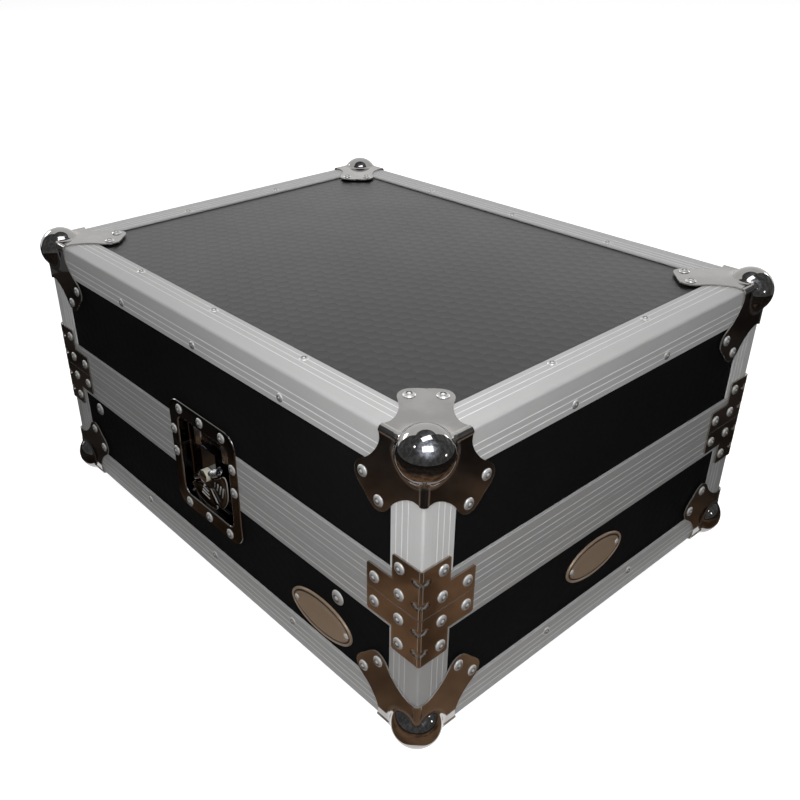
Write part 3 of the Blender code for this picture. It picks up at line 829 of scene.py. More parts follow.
def pressed(
    mesh: bpy.types.Mesh,
    thickness: float,
    inside: Point3,
    edge: float = 0.0,
    elsewhere: Callable[[Vector], float] = lambda spot: 0.0,
) -> bpy.types.Mesh:
    """A plate from its outer skin, with marks where its plating gets a painted highlight.

    Args:
        mesh: an open sheet, which is used up.
        thickness: how thick the plate is, from the skin inwards.
        inside: a place behind the sheet, which its faces turn away from.
        edge: how strong the painted highlight along its edge is, from 0 to 1.
        elsewhere: how strong the painted highlight is at any other point.

    Returns:
        The plate.
    """
    behind = Vector(inside)
    if sum(face.area * face.normal.dot(face.center - behind) for face in mesh.polygons) < 0:
        mesh.flip_normals()
    uses = Counter(key for face in mesh.polygons for key in face.edge_keys)
    rim = {index for key, count in uses.items() if count == 1 for index in key}
    write_values(mesh, "worn", [edge if v.index in rim else elsewhere(v.co) for v in mesh.vertices])
    return with_modifiers(mesh, ("SOLIDIFY", {"thickness": thickness, "offset": -1.0}))


def piece(
    name: str,
    mesh: bpy.types.Mesh,
    finish: Finish | None,
    body: str,
    replaces: Sequence[str] = (),
    place: Matrix | None = None,
    sharp: float = 32,
) -> bpy.types.Object:
    """Makes a finished piece from a mesh and hangs it on a body.

    Args:
        name: the piece's name.
        mesh: its mesh, before its place is applied.
        finish: its finish, or None where the mesh has its own.
        body: the body that it rides on.
        replaces: the nodes that it stands for.
        place: where it goes.
        sharp: the angle in degrees from which an edge stays sharp.

    Returns:
        The object.
    """
    mesh = mesh.copy()
    if place is not None:
        mesh.transform(place)
    tidied(mesh)
    mesh.shade_smooth()
    mesh.set_sharp_from_angle(angle=math.radians(sharp))
    if finish is not None:
        mesh.materials.clear()
        mesh.materials.append(finish.material)
    # Each point's upward lean, which the small metal parts read to paint shade on faces that look down.
    write_values(mesh, "sky", [vertex.normal.z for vertex in mesh.vertices])
    made = in_scene(name, mesh)
    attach(made, body)
    if replaces:
        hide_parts(*replaces)
    log.info("%s rides on %s", name, body)
    return made


def joined(meshes: Sequence[bpy.types.Mesh]) -> bpy.types.Mesh:
    """One mesh from several, which keeps their materials.

    Args:
        meshes: the meshes.

    Returns:
        The joined mesh.
    """
    work = bmesh.new()
    materials: list[bpy.types.Material] = []
    for mesh in meshes:
        start = len(work.faces)
        work.from_mesh(mesh)
        work.faces.ensure_lookup_table()
        for face in work.faces[start:]:
            own = mesh.materials[face.material_index] if mesh.materials else None
            if own is not None and own not in materials:
                materials.append(own)
            face.material_index = materials.index(own) if own is not None else 0
    made = bpy.data.meshes.new("joined")
    work.to_mesh(made)
    work.free()
    for material in materials:
        made.materials.append(material)
    return made


# The case's own sizes, in metres, and its frames


@dataclass(frozen=True)
class CaseSizes:
    """The sizes over the edging and of what the pieces share."""

    half_length: float = 0.2665
    half_width: float = 0.208
    bottom: float = 0.010
    seam: float = 0.134
    top: float = 0.269
    wall: float = 0.0015
    fit: float = 0.0003
    flange: float = 0.030
    base_seam_flange: float = 0.026
    lid_seam_flange: float = 0.0275
    inner_wall: float = 0.0111
    panel_face: float = 0.0018

    def reach(self, side: Side) -> float:
        """How far a side's face is from the middle."""
        return self.half_width if side.is_long else self.half_length

    def half_run(self, side: Side) -> float:
        """Half of a side's length over the edging."""
        return self.half_length if side.is_long else self.half_width

    def side_frame(self, side: Side, height: float) -> Matrix:
        """The frame of one side: X along it, Y inwards from its face, Z up.

        Args:
            side: which side.
            height: the height of the frame's origin.

        Returns:
            The matrix.
        """
        turn = turned(side.value, "Z")
        inward = turn @ Vector((0, 1, 0))
        return Matrix.Translation(Vector((0, 0, height)) - inward * self.reach(side)) @ turn

    def corner_frame(self, corner: Corner, height: float, z_side: int) -> Matrix:
        """The frame of a corner, whose X and Y point into the case and whose Z points up or down.

        Args:
            corner: which corner.
            height: the height of the frame's origin.
            z_side: 1 where the frame's Z points down, -1 where it points up.

        Returns:
            The matrix, with X and Y swapped where that keeps it right-handed.
        """
        x_side, y_side = corner.value
        x_axis, y_axis, z_axis = (-x_side, 0, 0), (0, -y_side, 0), (0, 0, -z_side)
        if x_side * y_side * z_side > 0:
            x_axis, y_axis = y_axis, x_axis
        turn = Matrix((x_axis, y_axis, z_axis)).transposed().to_4x4()
        where = (x_side * self.half_length, y_side * self.half_width, height)
        return Matrix.Translation(where) @ turn


SIZES = CaseSizes()


def at_corners(
    kind: str,
    plate: tuple[str, bpy.types.Mesh, Finish],
    heads: bpy.types.Mesh,
    levels: Sequence[tuple[str, Level, float, int]],
) -> None:
    """Sets a plate and its rivets at the four corners.

    Args:
        kind: how the names of the nodes start.
        plate: the last word of its name, its mesh and its finish.
        heads: its rivets.
        levels: the word for each level, the half that it is on, its height and the frame's z_side.
    """
    word, mesh, finish = plate
    for corner in Corner:
        for where, level, height, z_side in levels:
            place = SIZES.corner_frame(corner, height, z_side)
            node = f"{kind}_{where}_{corner.label}"
            piece(f"{node}_{word}", mesh, finish, level.value, [node], place)
            piece(f"{node}_rivets", heads, None, level.value, place=place)


def spot_on(onto: Matrix, place: Point3, facing: Point3, radius: float) -> Spot:
    """A rivet's place, direction and radius, brought from a frame into the case's."""
    return tuple(onto @ Vector(place)), tuple(onto.to_3x3() @ Vector(facing)), radius


# Rivets, bars and raised cells


class HeadStyle(Enum):
    """The shapes of rivet head."""

    BLIND = "blind"
    DOME = "dome"


@dataclass
class Rivets:
    """Rivet heads set on points that know which way they face."""

    sides: int = 24
    # Painted light across a blind head's radius: painted highlights on the pin and the rim, a painted shade
    # ring round the pin.
    blind_lifts: tuple[Point2, ...] = (
        (0.0, 1.0), (0.25, 1.0), (0.32, 0.0), (0.37, -1.0), (0.46, -1.0), (0.53, -0.6),
        (0.6, -0.3), (0.8, -0.25), (0.89, 0.2), (0.97, 1.0), (1.1, 1.0),
    )

    def __post_init__(self) -> None:
        """Turns the heads and writes the tree that sets them."""
        self.heads = {
            HeadStyle.BLIND: self.head_object(self.blind_profile(), self.blind_lifts),
            # A dome head gets a painted highlight all over.
            HeadStyle.DOME: self.head_object(self.dome_profile(), ((0.0, 1.0), (1.1, 0.8))),
        }
        tree = ModifierTree("rivets")
        head = tree.given("Head", "Object")
        shape = tree.node("GeometryNodeObjectInfo", None, {"Object": head}, "Geometry")
        facing = self.attribute(tree, "facing", "FLOAT_VECTOR")
        turn = tree.node("FunctionNodeAlignRotationToVector", {"axis": "Z"}, {"Vector": facing})
        size = self.attribute(tree, "radius", "FLOAT")
        points = {"Points": tree.base, "Instance": shape, "Rotation": turn, "Scale": size}
        tree.end(tree.node("GeometryNodeInstanceOnPoints", None, points))
        self.tree = tree

    @staticmethod
    def attribute(tree: ModifierTree, name: str, kind: str) -> Signal:
        """A named attribute of the points."""
        return tree.node("GeometryNodeInputNamedAttribute", {"data_type": kind}, {"Name": name})

    @staticmethod
    def blind_profile() -> list[Point2]:
        """A blind rivet's head of radius 1: a low dome with a ring round its broken-off pin.

        Returns:
            Pairs of radius and height.
        """
        edge = [(0, -0.08), (0.98, -0.08), (0.98, 0.02), (1.0, 0.07), (0.97, 0.12)]
        dome = [(0.88, 0.2), (0.77, 0.27), (0.67, 0.32), (0.58, 0.35), (0.52, 0.36), (0.46, 0.32)]
        pin = [(0.41, 0.25), (0.36, 0.23), (0.31, 0.28), (0.23, 0.35), (0.11, 0.38), (0, 0.38)]
        return [*edge, *dome, *pin]

    @staticmethod
    def dome_profile() -> list[Point2]:
        """A wide plain dome of radius 1 with a thin edge."""
        rise = [(math.cos(t), 0.08 + 0.26 * math.sin(t)) for t in (0.1, 0.35, 0.6, 0.85, 1.1, 1.35)]
        return [(0, -0.08), (1.0, -0.08), (1.0, 0.04), *rise, (0, 0.34)]

    def head_object(self, profile: Sequence[Point2], stops: Sequence[Point2]) -> bpy.types.Object:
        """A helper object that holds one head.

        Args:
            profile: its outline, as radius and height.
            stops: the painted light at each radius, where -1 is painted shade and 1 a painted highlight.

        Returns:
            The object.
        """
        mesh = lathe(profile, self.sides)
        painted_light_values = []
        for vertex in mesh.vertices:
            reach = vertex.co.xy.length
            after = next(i for i, (stop, _) in enumerate(stops) if stop > reach)
            (low, first), (high, second) = stops[after - 1], stops[after]
            painted_light_values.append(first + (second - first) * (reach - low) / (high - low))
        write_values(mesh, "lift", painted_light_values)
        return bpy.data.objects.new("rivet_head", mesh)

    def set_on(self, spots: Sequence[Spot], style: HeadStyle = HeadStyle.BLIND) -> bpy.types.Mesh:
        """The heads of one group of rivets.

        Args:
            spots: the place, the direction and the radius of each.
            style: the heads' shape.

        Returns:
            One mesh with all of them.
        """
        base = mesh_of("rivet_points", [place for place, _, _ in spots], [])
        write_values(base, "radius", [size for _, _, size in spots])
        facing = base.attributes.new("facing", "FLOAT_VECTOR", "POINT")
        for i, (_, direction, _) in enumerate(spots):
            facing.data[i].vector = direction
        return self.tree.grow(base, {"Head": self.heads[style], "Finish": Finishes.rivet.material})

    def clear(self) -> None:
        """Removes the helper objects."""
        for head in self.heads.values():
            bpy.data.objects.remove(head)


@dataclass
class ExtrudedBars:
    """Bars drawn from a section, with square or mitred ends."""

    def __post_init__(self) -> None:
        """Writes the tree: it draws the section along X, then moves the two ends to their cuts."""
        tree = ModifierTree("extruded_bar")
        start, start_slope = tree.given("Start"), tree.given("Start Slope")
        stop, stop_slope = tree.given("Stop"), tree.given("Stop Slope")
        one = tree.node("ShaderNodeCombineXYZ", None, {"X": 1.0})
        drawn = {"Mesh": tree.base, "Offset": one, "Offset Scale": 1.0, "Individual": False}
        sleeve = tree.node("GeometryNodeExtrudeMesh", {"mode": "FACES"}, drawn)
        near_end = tree.node("GeometryNodeFlipFaces", None, {"Mesh": tree.base})
        both = tree.node("GeometryNodeJoinGeometry", None, {"Geometry": [sleeve, near_end]})
        closed = tree.node("GeometryNodeMergeByDistance", None, {"Geometry": both, "Distance": 1e-6})
        position = tree.node("GeometryNodeInputPosition")
        x, y, z = (tree.node("ShaderNodeSeparateXYZ", None, {0: position}, i) for i in range(3))
        along = (1 - x) * (start + start_slope * y) + x * (stop - stop_slope * y)
        place = tree.node("ShaderNodeCombineXYZ", None, {"X": along, "Y": y, "Z": z})
        tree.end(tree.node("GeometryNodeSetPosition", None, {"Geometry": closed, "Position": place}))
        self.tree = tree

    def bar(
        self, section: Outline, start: float, stop: float, slopes: Point2, finish: Finish
    ) -> bpy.types.Mesh:
        """One bar along X.

        Args:
            section: its outline, as depth behind the face, height, and 1 where a rib gets a painted
                highlight.
            start: where it starts at depth 0.
            stop: where it stops at depth 0.
            slopes: how far the start and the stop draw in for each metre of depth.
            finish: its finish.

        Returns:
            The mesh.
        """
        face = mesh_of("section", [(0, a, b) for a, b, *_ in section], [range(len(section))])
        write_values(face, "rib", [more[0] if more else 0.0 for _, _, *more in section])
        values = {"Start": start, "Stop": stop, "Start Slope": slopes[0], "Stop Slope": slopes[1]}
        return tidied(self.tree.grow(face, values | {"Finish": finish.material}))


@dataclass
class RaisedCells:
    """The laminate's embossed pattern: shallow six-sided cells whose rims meet in a fine raised net."""

    pitch: float = 0.0125
    gap: float = 0.00005
    crest: float = 0.0003
    slope: float = 0.0011
    height: float = 0.00008
    floor: float = 0.00003

    def __post_init__(self) -> None:
        """Turns one cell and writes the tree that sets it on each point."""
        radius = self.pitch / math.sqrt(3) - self.gap
        crest = radius - self.crest
        profile = [(0, -self.floor), (radius, -self.floor), (radius, self.height), (crest, self.height)]
        profile += [(crest - self.slope, self.floor), (0, self.floor)]
        self.cell = bpy.data.objects.new("raised_cell", lathe(profile, 6))
        tree = ModifierTree("raised_cells")
        cell, facing = tree.given("Cell", "Object"), tree.given("Facing", "Rotation")
        shape = tree.node("GeometryNodeObjectInfo", None, {"Object": cell}, "Geometry")
        points = {"Points": tree.base, "Instance": shape, "Rotation": facing}
        tree.end(tree.node("GeometryNodeInstanceOnPoints", None, points))
        self.tree = tree

    def field(
        self,
        half: Point2,
        middle: Point2,
        hole: Callable[[float, float], bool],
        finish: Finish,
    ) -> bpy.types.Mesh:
        """A field of cells on XY, facing up Z, with the pattern's middle at the origin.

        Args:
            half: half the field's size.
            middle: the field's middle.
            hole: says where there is no cell.
            finish: the cells' finish.

        Returns:
            The mesh.
        """
        column = self.pitch * math.sqrt(3) / 2
        points = []
        for i in range(-math.ceil(half[0] / column), math.ceil(half[0] / column) + 1):
            for j in range(-math.ceil(half[1] / self.pitch) - 1, math.ceil(half[1] / self.pitch) + 2):
                x, y = i * column, (j + (i % 2) / 2) * self.pitch
                if abs(x) <= half[0] and abs(y) <= half[1] and not hole(x + middle[0], y + middle[1]):
                    points.append((x + middle[0], y + middle[1], 0))
        values = {"Cell": self.cell, "Finish": finish.material}
        return self.tree.grow(mesh_of("cell_points", points, []), values)

    def clear(self) -> None:
        """Removes the helper object."""
        bpy.data.objects.remove(self.cell)


# Panels


@dataclass
class Panels:
    """The laminated plywood panels, with their raised cells."""

    cells: RaisedCells
    exposed_margin: float = 0.004
    latch_half: float = 0.049
    latch_below: float = 0.063
    latch_above: float = 0.042

    def build(self) -> None:
        """Dresses the ten panels and lays the cells on their outer faces."""
        for node in ("lid_top_panel", "base_floor_panel"):
            self.dress(node, Finishes.top_laminate)
        for side in Side:
            for level in Level:
                self.dress(f"{level.value}_{side.label}_panel", Finishes.side_laminate)
        self.flat_field("lid_top_cells", Level.LID, SIZES.top - SIZES.panel_face, 1)
        self.flat_field("base_floor_cells", Level.BASE, SIZES.bottom + SIZES.panel_face, -1)
        for side in Side:
            low, high = SIZES.bottom + SIZES.flange, SIZES.seam - SIZES.base_seam_flange
            self.side_field(side, Level.BASE, low, high)
            low, high = SIZES.seam + SIZES.lid_seam_flange, SIZES.top - SIZES.flange
            self.side_field(side, Level.LID, low, high)

    @staticmethod
    def dress(node: str, finish: Finish) -> None:
        """Gives a panel its laminate.

        Args:
            node: the panel's node.
            finish: the laminate.
        """
        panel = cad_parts[node]
        for slot in panel.material_slots:
            slot.link = "OBJECT"
            slot.material = finish.material

    def flat_field(self, name: str, level: Level, height: float, up: int) -> None:
        """Cells on the top or the floor panel.

        Args:
            name: the piece's name.
            level: the half that it is on.
            height: the panel's outer face.
            up: 1 for cells that face up, -1 for down.
        """
        covered = SIZES.flange - self.exposed_margin
        half = (SIZES.half_length - covered, SIZES.half_width - covered)
        mesh = self.cells.field(half, (0, 0), lambda x, y: False, Finishes.top_laminate)
        lift = Matrix.Translation((0, 0, height))
        flip = turned(0 if up > 0 else 180, "X")
        piece(name, mesh, None, level.value, place=lift @ flip, sharp=60)

    def side_field(self, side: Side, level: Level, low: float, high: float) -> None:
        """Cells on an upright panel.

        Args:
            side: the case's side.
            level: the half that the panel is in.
            low: the lowest height that shows.
            high: the highest height that shows.
        """
        half_run = SIZES.half_run(side) - SIZES.flange + self.exposed_margin
        middle = (low + high) / 2 - SIZES.seam

        def hole(x: float, z: float) -> bool:
            """Whether a place lies behind the latch."""
            return side.is_long and abs(x) < self.latch_half and -self.latch_below < z < self.latch_above

        half = (half_run, (high - low) / 2 + self.exposed_margin / 2)
        mesh = self.cells.field(half, (0, middle), hole, Finishes.side_laminate)
        outwards = Matrix.Translation((0, SIZES.panel_face, 0)) @ turned(90, "X")
        onto = SIZES.side_frame(side, SIZES.seam) @ outwards
        name = f"{level.value}_{side.label}_cells"
        piece(name, mesh, None, level.value, place=onto, sharp=60)


# Edging


@dataclass
class Edging:
    """The ribbed aluminium: double angles on the long edges, angles at the corners, frames at the seam."""

    bars: ExtrudedBars
    rivets: Rivets
    rib: float = 0.0009
    rib_height: float = 0.0002
    round_edge: float = 0.0022
    seam_gap: float = 0.00015
    mitre_gap: float = 0.00005
    latch_half: float = 0.0407
    rivet_radius: float = 0.0036
    rivet_from_edge: float = 0.0235
    base_rivet_height: float = 0.020
    rivet_rows_on_long: tuple[float, ...] = (-0.118, 0.0, 0.118)
    rivet_rows_on_short: tuple[float, ...] = (-0.058, 0.058)
    panel_rivet_radius: float = 0.0066
    panel_rivet_spots: tuple[Point2, ...] = ((0.177, 0.0842), (-0.2096, 0.0862))
    lip: float = 0.0004
    inner_leg: float = 0.0094
    web: float = 0.005
    seam_leg: float = 0.016
    tongue: Point2 = (0.0059, 0.0083)
    tongue_height: float = 0.0033
    groove_depth: float = 0.0036

    @property
    def corner_round(self) -> list[Point2]:
        """The rounded outer corner of an angle's section."""
        return arc((self.round_edge, self.round_edge), self.round_edge, 180, 270, 6)

    def ribbed(self, length: float, places: Sequence[float]) -> list[Point3]:
        """A flat stretch with fine ribs, as distance along it, depth into it and how much painted highlight
        it gets.

        Args:
            length: the stretch's length.
            places: where each rib's middle is.

        Returns:
            The points between its two ends, ends left out.
        """
        made = []
        for place in sorted(places):
            for offset, rise in ((-0.5, 0), (-0.22, 1), (0.22, 1), (0.5, 0)):
                along = place + offset * self.rib
                if 0 < along < length:
                    made.append((along, -rise * self.rib_height, float(rise)))
        return made

    def edge_section(self, side_ribs: Sequence[float], top_ribs: Sequence[float]) -> Outline:
        """The double angle's section: depth behind the side's face, and height from the outer flange.

        Args:
            side_ribs: rib places from the free edge of the side flange.
            top_ribs: rib places from the free edge of the outer flange.

        Returns:
            The closed outline.
        """
        flange, wall, inner = SIZES.flange, SIZES.wall, SIZES.inner_wall
        deep, leg, lip = inner + wall, inner + wall + self.inner_leg, self.lip
        top = self.ribbed(flange, [flange - g for g in top_ribs])
        side = [(d, flange - a, bright) for a, d, bright in self.ribbed(flange, side_ribs)]
        outer_leg = [(flange - lip, 0), (flange, lip), (flange, wall), (deep, wall), (deep, inner)]
        inner_leg = [(leg, inner), (leg, deep), (deep, deep), (deep, leg), (inner, leg), (inner, wall)]
        side_edge = [(wall, wall), (wall, flange), (lip, flange), (0, flange - lip)]
        return [*self.corner_round, *top, *outer_leg, *inner_leg, *side_edge, *side]

    def edge_bars(self) -> None:
        """The eight mitred double angles."""
        plain = (0.0052, 0.0108, 0.0164)
        lid = self.edge_section(plain, plain)
        base = self.edge_section((0.0013, 0.0097, 0.0155, 0.021), plain)
        gap = SIZES.fit / math.sqrt(2)
        for side in Side:
            run = Run.X if side.is_long else Run.Y
            half = SIZES.half_run(side) - gap
            for level, section, height, finishes in (
                (Level.BASE, base, SIZES.bottom, Finishes.foot),
                (Level.LID, lid, SIZES.top, Finishes.edging),
            ):
                finish = finishes[run]
                outline = [(a, -level.up * b, *more) for a, b, *more in section]
                mesh = self.bars.bar(outline, -half, half, (1, 1), finish)
                node = f"{level.value}_edge_{side.label}"
                place = SIZES.side_frame(side, height)
                piece(node + "_bar", mesh, None, level.value, [node], place)

    def corner_bars(self) -> None:
        """The eight upright angles between the edges and the seam."""
        flange, wall = SIZES.flange, SIZES.wall
        first = self.ribbed(flange, [flange - place for place in (0.005, 0.0107, 0.0163)])
        inside = [(flange, 0), (flange, wall), (wall, wall), (wall, flange), (0, flange)]
        section = [*self.corner_round, *first, *inside, *((d, a, bright) for a, d, bright in reversed(first))]
        upright = Matrix(((0, 1, 0, 0), (0, 0, 1, 0), (1, 0, 0, 0), (0, 0, 0, 1)))
        spans = {
            Level.BASE: (SIZES.bottom + flange, SIZES.seam - self.seam_gap - SIZES.base_seam_flange),
            Level.LID: (SIZES.seam + self.seam_gap + SIZES.lid_seam_flange, SIZES.top - flange),
        }
        for level, (low, high) in spans.items():
            finish = Finishes.upright[level]
            mesh = self.bars.bar(section, low + SIZES.fit, high - SIZES.fit, (0, 0), finish)
            for quarters, corner in enumerate(Corner):
                x_side, y_side = corner.value
                where = (x_side * SIZES.half_length, y_side * SIZES.half_width, 0)
                place = Matrix.Translation(where) @ turned(90 * quarters, "Z") @ upright
                node = f"{level.value}_corner_angle_{corner.label}"
                piece(node + "_bar", mesh, None, level.value, [node], place)

    def seam_section(self, level: Level) -> Outline:
        """The seam frame's section: depth behind the face, and distance from the seam.

        Args:
            level: the base's has the groove, the lid's the tongue.

        Returns:
            The closed outline.
        """
        is_lid = level is Level.LID
        flange = SIZES.lid_seam_flange if is_lid else SIZES.base_seam_flange
        ribs = (0.0048, 0.01105, 0.0174, 0.0263) if is_lid else (0.0081, 0.01445, 0.0207)
        wall, inner, lip = SIZES.wall, SIZES.inner_wall, self.lip
        side = [(d, a, bright) for a, d, bright in reversed(self.ribbed(flange, ribs))]
        near, far, height = *self.tongue, -self.tongue_height
        if not is_lid:
            near, far, height = near - SIZES.fit, far + SIZES.fit, self.groove_depth
        meeting = [(0, lip), (lip, 0), (near, 0), (near, height), (far, height), (far, 0), (inner + wall, 0)]
        leg = [(inner + wall, self.seam_leg), (inner, self.seam_leg), (inner, self.web), (wall, self.web)]
        return [*meeting, *leg, (wall, flange), (lip, flange), (0, flange - lip), *side]

    def seam_frames(self) -> None:
        """The two meeting frames, open on the long sides where the latches sit."""
        for level in Level:
            section = [(a, b * level.up, *more) for a, b, *more in self.seam_section(level)]
            bars = []
            for side in Side:
                half = SIZES.half_run(side) - self.mitre_gap
                finish = Finishes.seam[Run.X if side.is_long else Run.Y]
                if side.is_long:
                    ends = ((-half, -self.latch_half, (1, 0)), (self.latch_half, half, (0, 1)))
                else:
                    ends = ((-half, half, (1, 1)),)
                for start, stop, slopes in ends:
                    bar = self.bars.bar(section, start, stop, slopes, finish)
                    bar.transform(SIZES.side_frame(side, SIZES.seam + level.up * self.seam_gap))
                    bars.append(bar)
            node = f"{level.value}_valance"
            piece(node + "_frame", joined(bars), None, level.value, [node])

    def rivet_rows(self) -> None:
        """The small rivets that hold the double angles to the panels."""
        for level, edge, side_height in (
            (Level.BASE, SIZES.bottom, self.base_rivet_height),
            (Level.LID, SIZES.top, self.rivet_from_edge),
        ):
            spots = []
            for side in Side:
                onto = SIZES.side_frame(side, edge)
                for x in self.rivet_rows_on_long if side.is_long else self.rivet_rows_on_short:
                    on_side, on_flat = (x, 0, -level.up * side_height), (x, self.rivet_from_edge, 0)
                    spots.append(spot_on(onto, on_side, (0, -1, 0), self.rivet_radius))
                    spots.append(spot_on(onto, on_flat, (0, 0, level.up), self.rivet_radius))
            name = f"{level.value}_edging_rivets"
            piece(name, self.rivets.set_on(spots), None, level.value)

    def panel_rivets(self) -> None:
        """The wide rivets near the top of the base's long panels."""
        spots = []
        for side in (Side.FRONT, Side.BACK):
            onto = SIZES.side_frame(side, SIZES.bottom)
            for x, z in self.panel_rivet_spots:
                spots.append(spot_on(onto, (x, SIZES.panel_face, z), (0, -1, 0), self.panel_rivet_radius))
        piece("base_panel_rivets", self.rivets.set_on(spots), None, "base")

    def build(self) -> None:
        """Builds all the edging."""
        self.edge_bars()
        self.corner_bars()
        self.seam_frames()
        self.rivet_rows()
        self.panel_rivets()


# Ball corners and braces


@dataclass
class BallCorners:
    """Pressed ball corners: a ball over the corner, and a leg with two lobes on each of its faces."""

    rivets: Rivets
    ball: float = 0.020
    inset: float = 0.010
    face: float = 0.0015
    thickness: float = 0.0012
    fold_round: float = 0.0032
    rivet_far: float = 0.0565
    rivet_near: float = 0.0405
    rivet_radius: float = 0.0046
    fold_reach: float = 0.041
    fillet: float = 0.0017
    bead: float = 0.0004
    rib: float = 0.00045
    rib_half: float = 0.0046
    rib_slope: float = 0.0012
    bead_reach: float = 0.0019
    bead_width: float = 0.0006
    fine_step: float = 0.0013
    fine_rings: int = 15
    coarse_rings: int = 10
    fine_reach: float = 0.0205
    edge_ring: float = 0.0004
    # Where the plating gets a painted highlight: a band round the ball's bead and along the ribs' feet.
    rubbed_ring: Point2 = (0.0014, 0.0006)
    rubbed_rib: Point2 = (0.0038, 0.0009)
    rubbed_from: float = 0.003

    @property
    def centre(self) -> Vector:
        """The ball's centre, in the corner's frame."""
        return Vector((self.inset,) * 3)

    def waist(self) -> list[Point2]:
        """The leg's outline from one fold's tongue to the middle between the lobes.

        Returns:
            Its points.
        """
        tongue = [(self.fold_reach, -self.face), (self.fold_reach, 0.002), (0.0404, 0.0045), (0.0402, 0.0085)]
        waist = [(0.0418, 0.0135), (0.0447, 0.0185), (0.0484, 0.0232), (0.0525, 0.0272), (0.057, 0.0303)]
        lobe = [(0.061, 0.0334), (0.0638, 0.0374), (0.0647, 0.0422), (0.0633, 0.0468), (0.0602, 0.0507)]
        dip = [(0.0572, 0.0536), (0.0554, 0.0549), (0.0549, 0.0549)]
        return spline_through([*tongue, *waist, *lobe, *dip], 4)

    def boundary(self) -> list[Point2]:
        """One face's whole outline, starting at the corner and going out along the first fold.

        Returns:
            Its points.
        """
        fine = [-self.face + self.fine_step * i for i in range(20)]
        coarse = [fine[-1] + (self.fold_reach - fine[-1]) * i / 9 for i in range(1, 9)]
        first_fold = [(a, -self.face) for a in fine + coarse]
        half = self.waist()
        other = [(b, a) for a, b in reversed(half[:-1])]
        second_fold = [(-self.face, a) for a in reversed(fine[1:] + coarse)]
        return [*first_fold, *half, *other, *second_fold]

    def surface(self, sharp: Vector) -> Vector:
        """Where a point of the sharp-edged outer skin really lies.

        Args:
            sharp: a point on one of the three planes of the skin.

        Returns:
            The point after the folds are rounded and the ball, its fillet, bead and the ribs are pressed.
        """
        near = sorted(value + self.face for value in sharp)
        rise = self.rib * smooth_step((self.rib_half - near[1]) / self.rib_slope)
        core = Vector(max(value, self.fold_round - self.face) for value in sharp)
        way = sharp - core
        rounded = core + way.normalized() * (self.fold_round + rise)
        out = rounded - self.centre
        distance = out.length
        overlap = max(self.fillet - abs(distance - self.ball), 0) / self.fillet
        blended = max(distance, self.ball) + overlap * overlap * self.fillet / 4
        bump = self.bead * math.exp(-(((distance - self.ball - self.bead_reach) / self.bead_width) ** 2))
        return self.centre + out * ((blended + bump) / distance)

    def rings(self, length: float) -> list[float]:
        """How far out the skin's points lie on a ray from the ball's middle.

        Args:
            length: the ray's length, up to the outline.

        Returns:
            The distances, which are closer together over the ball.
        """
        drop = self.inset + self.face
        near = min(self.fine_reach, 0.8 * length)
        turn = math.atan(near / drop)
        made = [drop * math.tan(turn * i / self.fine_rings) for i in range(1, self.fine_rings + 1)]
        rest, parts = length - self.edge_ring - near, self.coarse_rings - 1
        return [*made, *(near + rest * i / parts for i in range(1, parts + 1)), length]

    def rubbed(self, spot: Vector) -> float:
        """The painted highlight on the plating: along the bead and along the ribs' feet.

        Args:
            spot: a point of the skin.

        Returns:
            From 0 to 1.
        """
        near = sorted(value + self.face for value in spot)
        reach = (spot - self.centre).length - self.ball
        ring_reach, ring_width = self.rubbed_ring
        rib_reach, rib_width = self.rubbed_rib
        ring = max(0.0, 1 - abs(reach - ring_reach) / ring_width)
        rib = max(0.0, 1 - abs(near[1] - rib_reach) / rib_width) if reach > self.rubbed_from else 0.0
        return 0.5 * max(ring, rib)

    def skin(self) -> bpy.types.Mesh:
        """The plate of the three legs and the ball.

        Returns:
            The mesh.
        """
        boundary = self.boundary()
        middle = Vector((self.inset, self.inset))
        count, depth = len(boundary), self.fine_rings + self.coarse_rings
        points, faces = [], []
        for index in range(3):
            axes = (index, (index + 1) % 3, (index + 2) % 3)
            start = len(points)
            flat = []
            for corner in boundary:
                ray = Vector(corner) - middle
                flat += [middle + ray * (ring / ray.length) for ring in self.rings(ray.length)]
            for spot in (*flat, middle):
                sharp = Vector((0, 0, 0))
                for axis, value in zip(axes, (*spot, -self.face)):
                    sharp[axis] = value
                points.append(self.surface(sharp))
            for i in range(count):
                here, ahead = start + i * depth, start + (i + 1) % count * depth
                faces.append([start + count * depth, here, ahead])
                for k in range(depth - 1):
                    faces.append([here + k, here + k + 1, ahead + k + 1, ahead + k])
        mesh = tidied(mesh_of("ball_corner", points, faces), 2e-5)
        return pressed(mesh, self.thickness, self.centre, 0.5, self.rubbed)

    def rivet_spots(self) -> list[Spot]:
        """The six rivets, two on each leg.

        Returns:
            The place, direction and radius of each.
        """
        spots = []
        for index in range(3):
            for near, far in ((self.rivet_near, self.rivet_far), (self.rivet_far, self.rivet_near)):
                place, facing = [0.0] * 3, [0.0] * 3
                place[index], place[(index + 1) % 3] = near, far
                place[(index + 2) % 3], facing[(index + 2) % 3] = -self.face, -1
                spots.append((tuple(place), tuple(facing), self.rivet_radius))
        return spots

    def build(self) -> None:
        """Builds the eight corners and their rivets."""
        shell = ("shell", self.skin(), Finishes.corner_plating)
        levels = (("lower", Level.BASE, SIZES.bottom, -1), ("upper", Level.LID, SIZES.top, 1))
        at_corners("ball_corner", shell, self.rivets.set_on(self.rivet_spots()), levels)


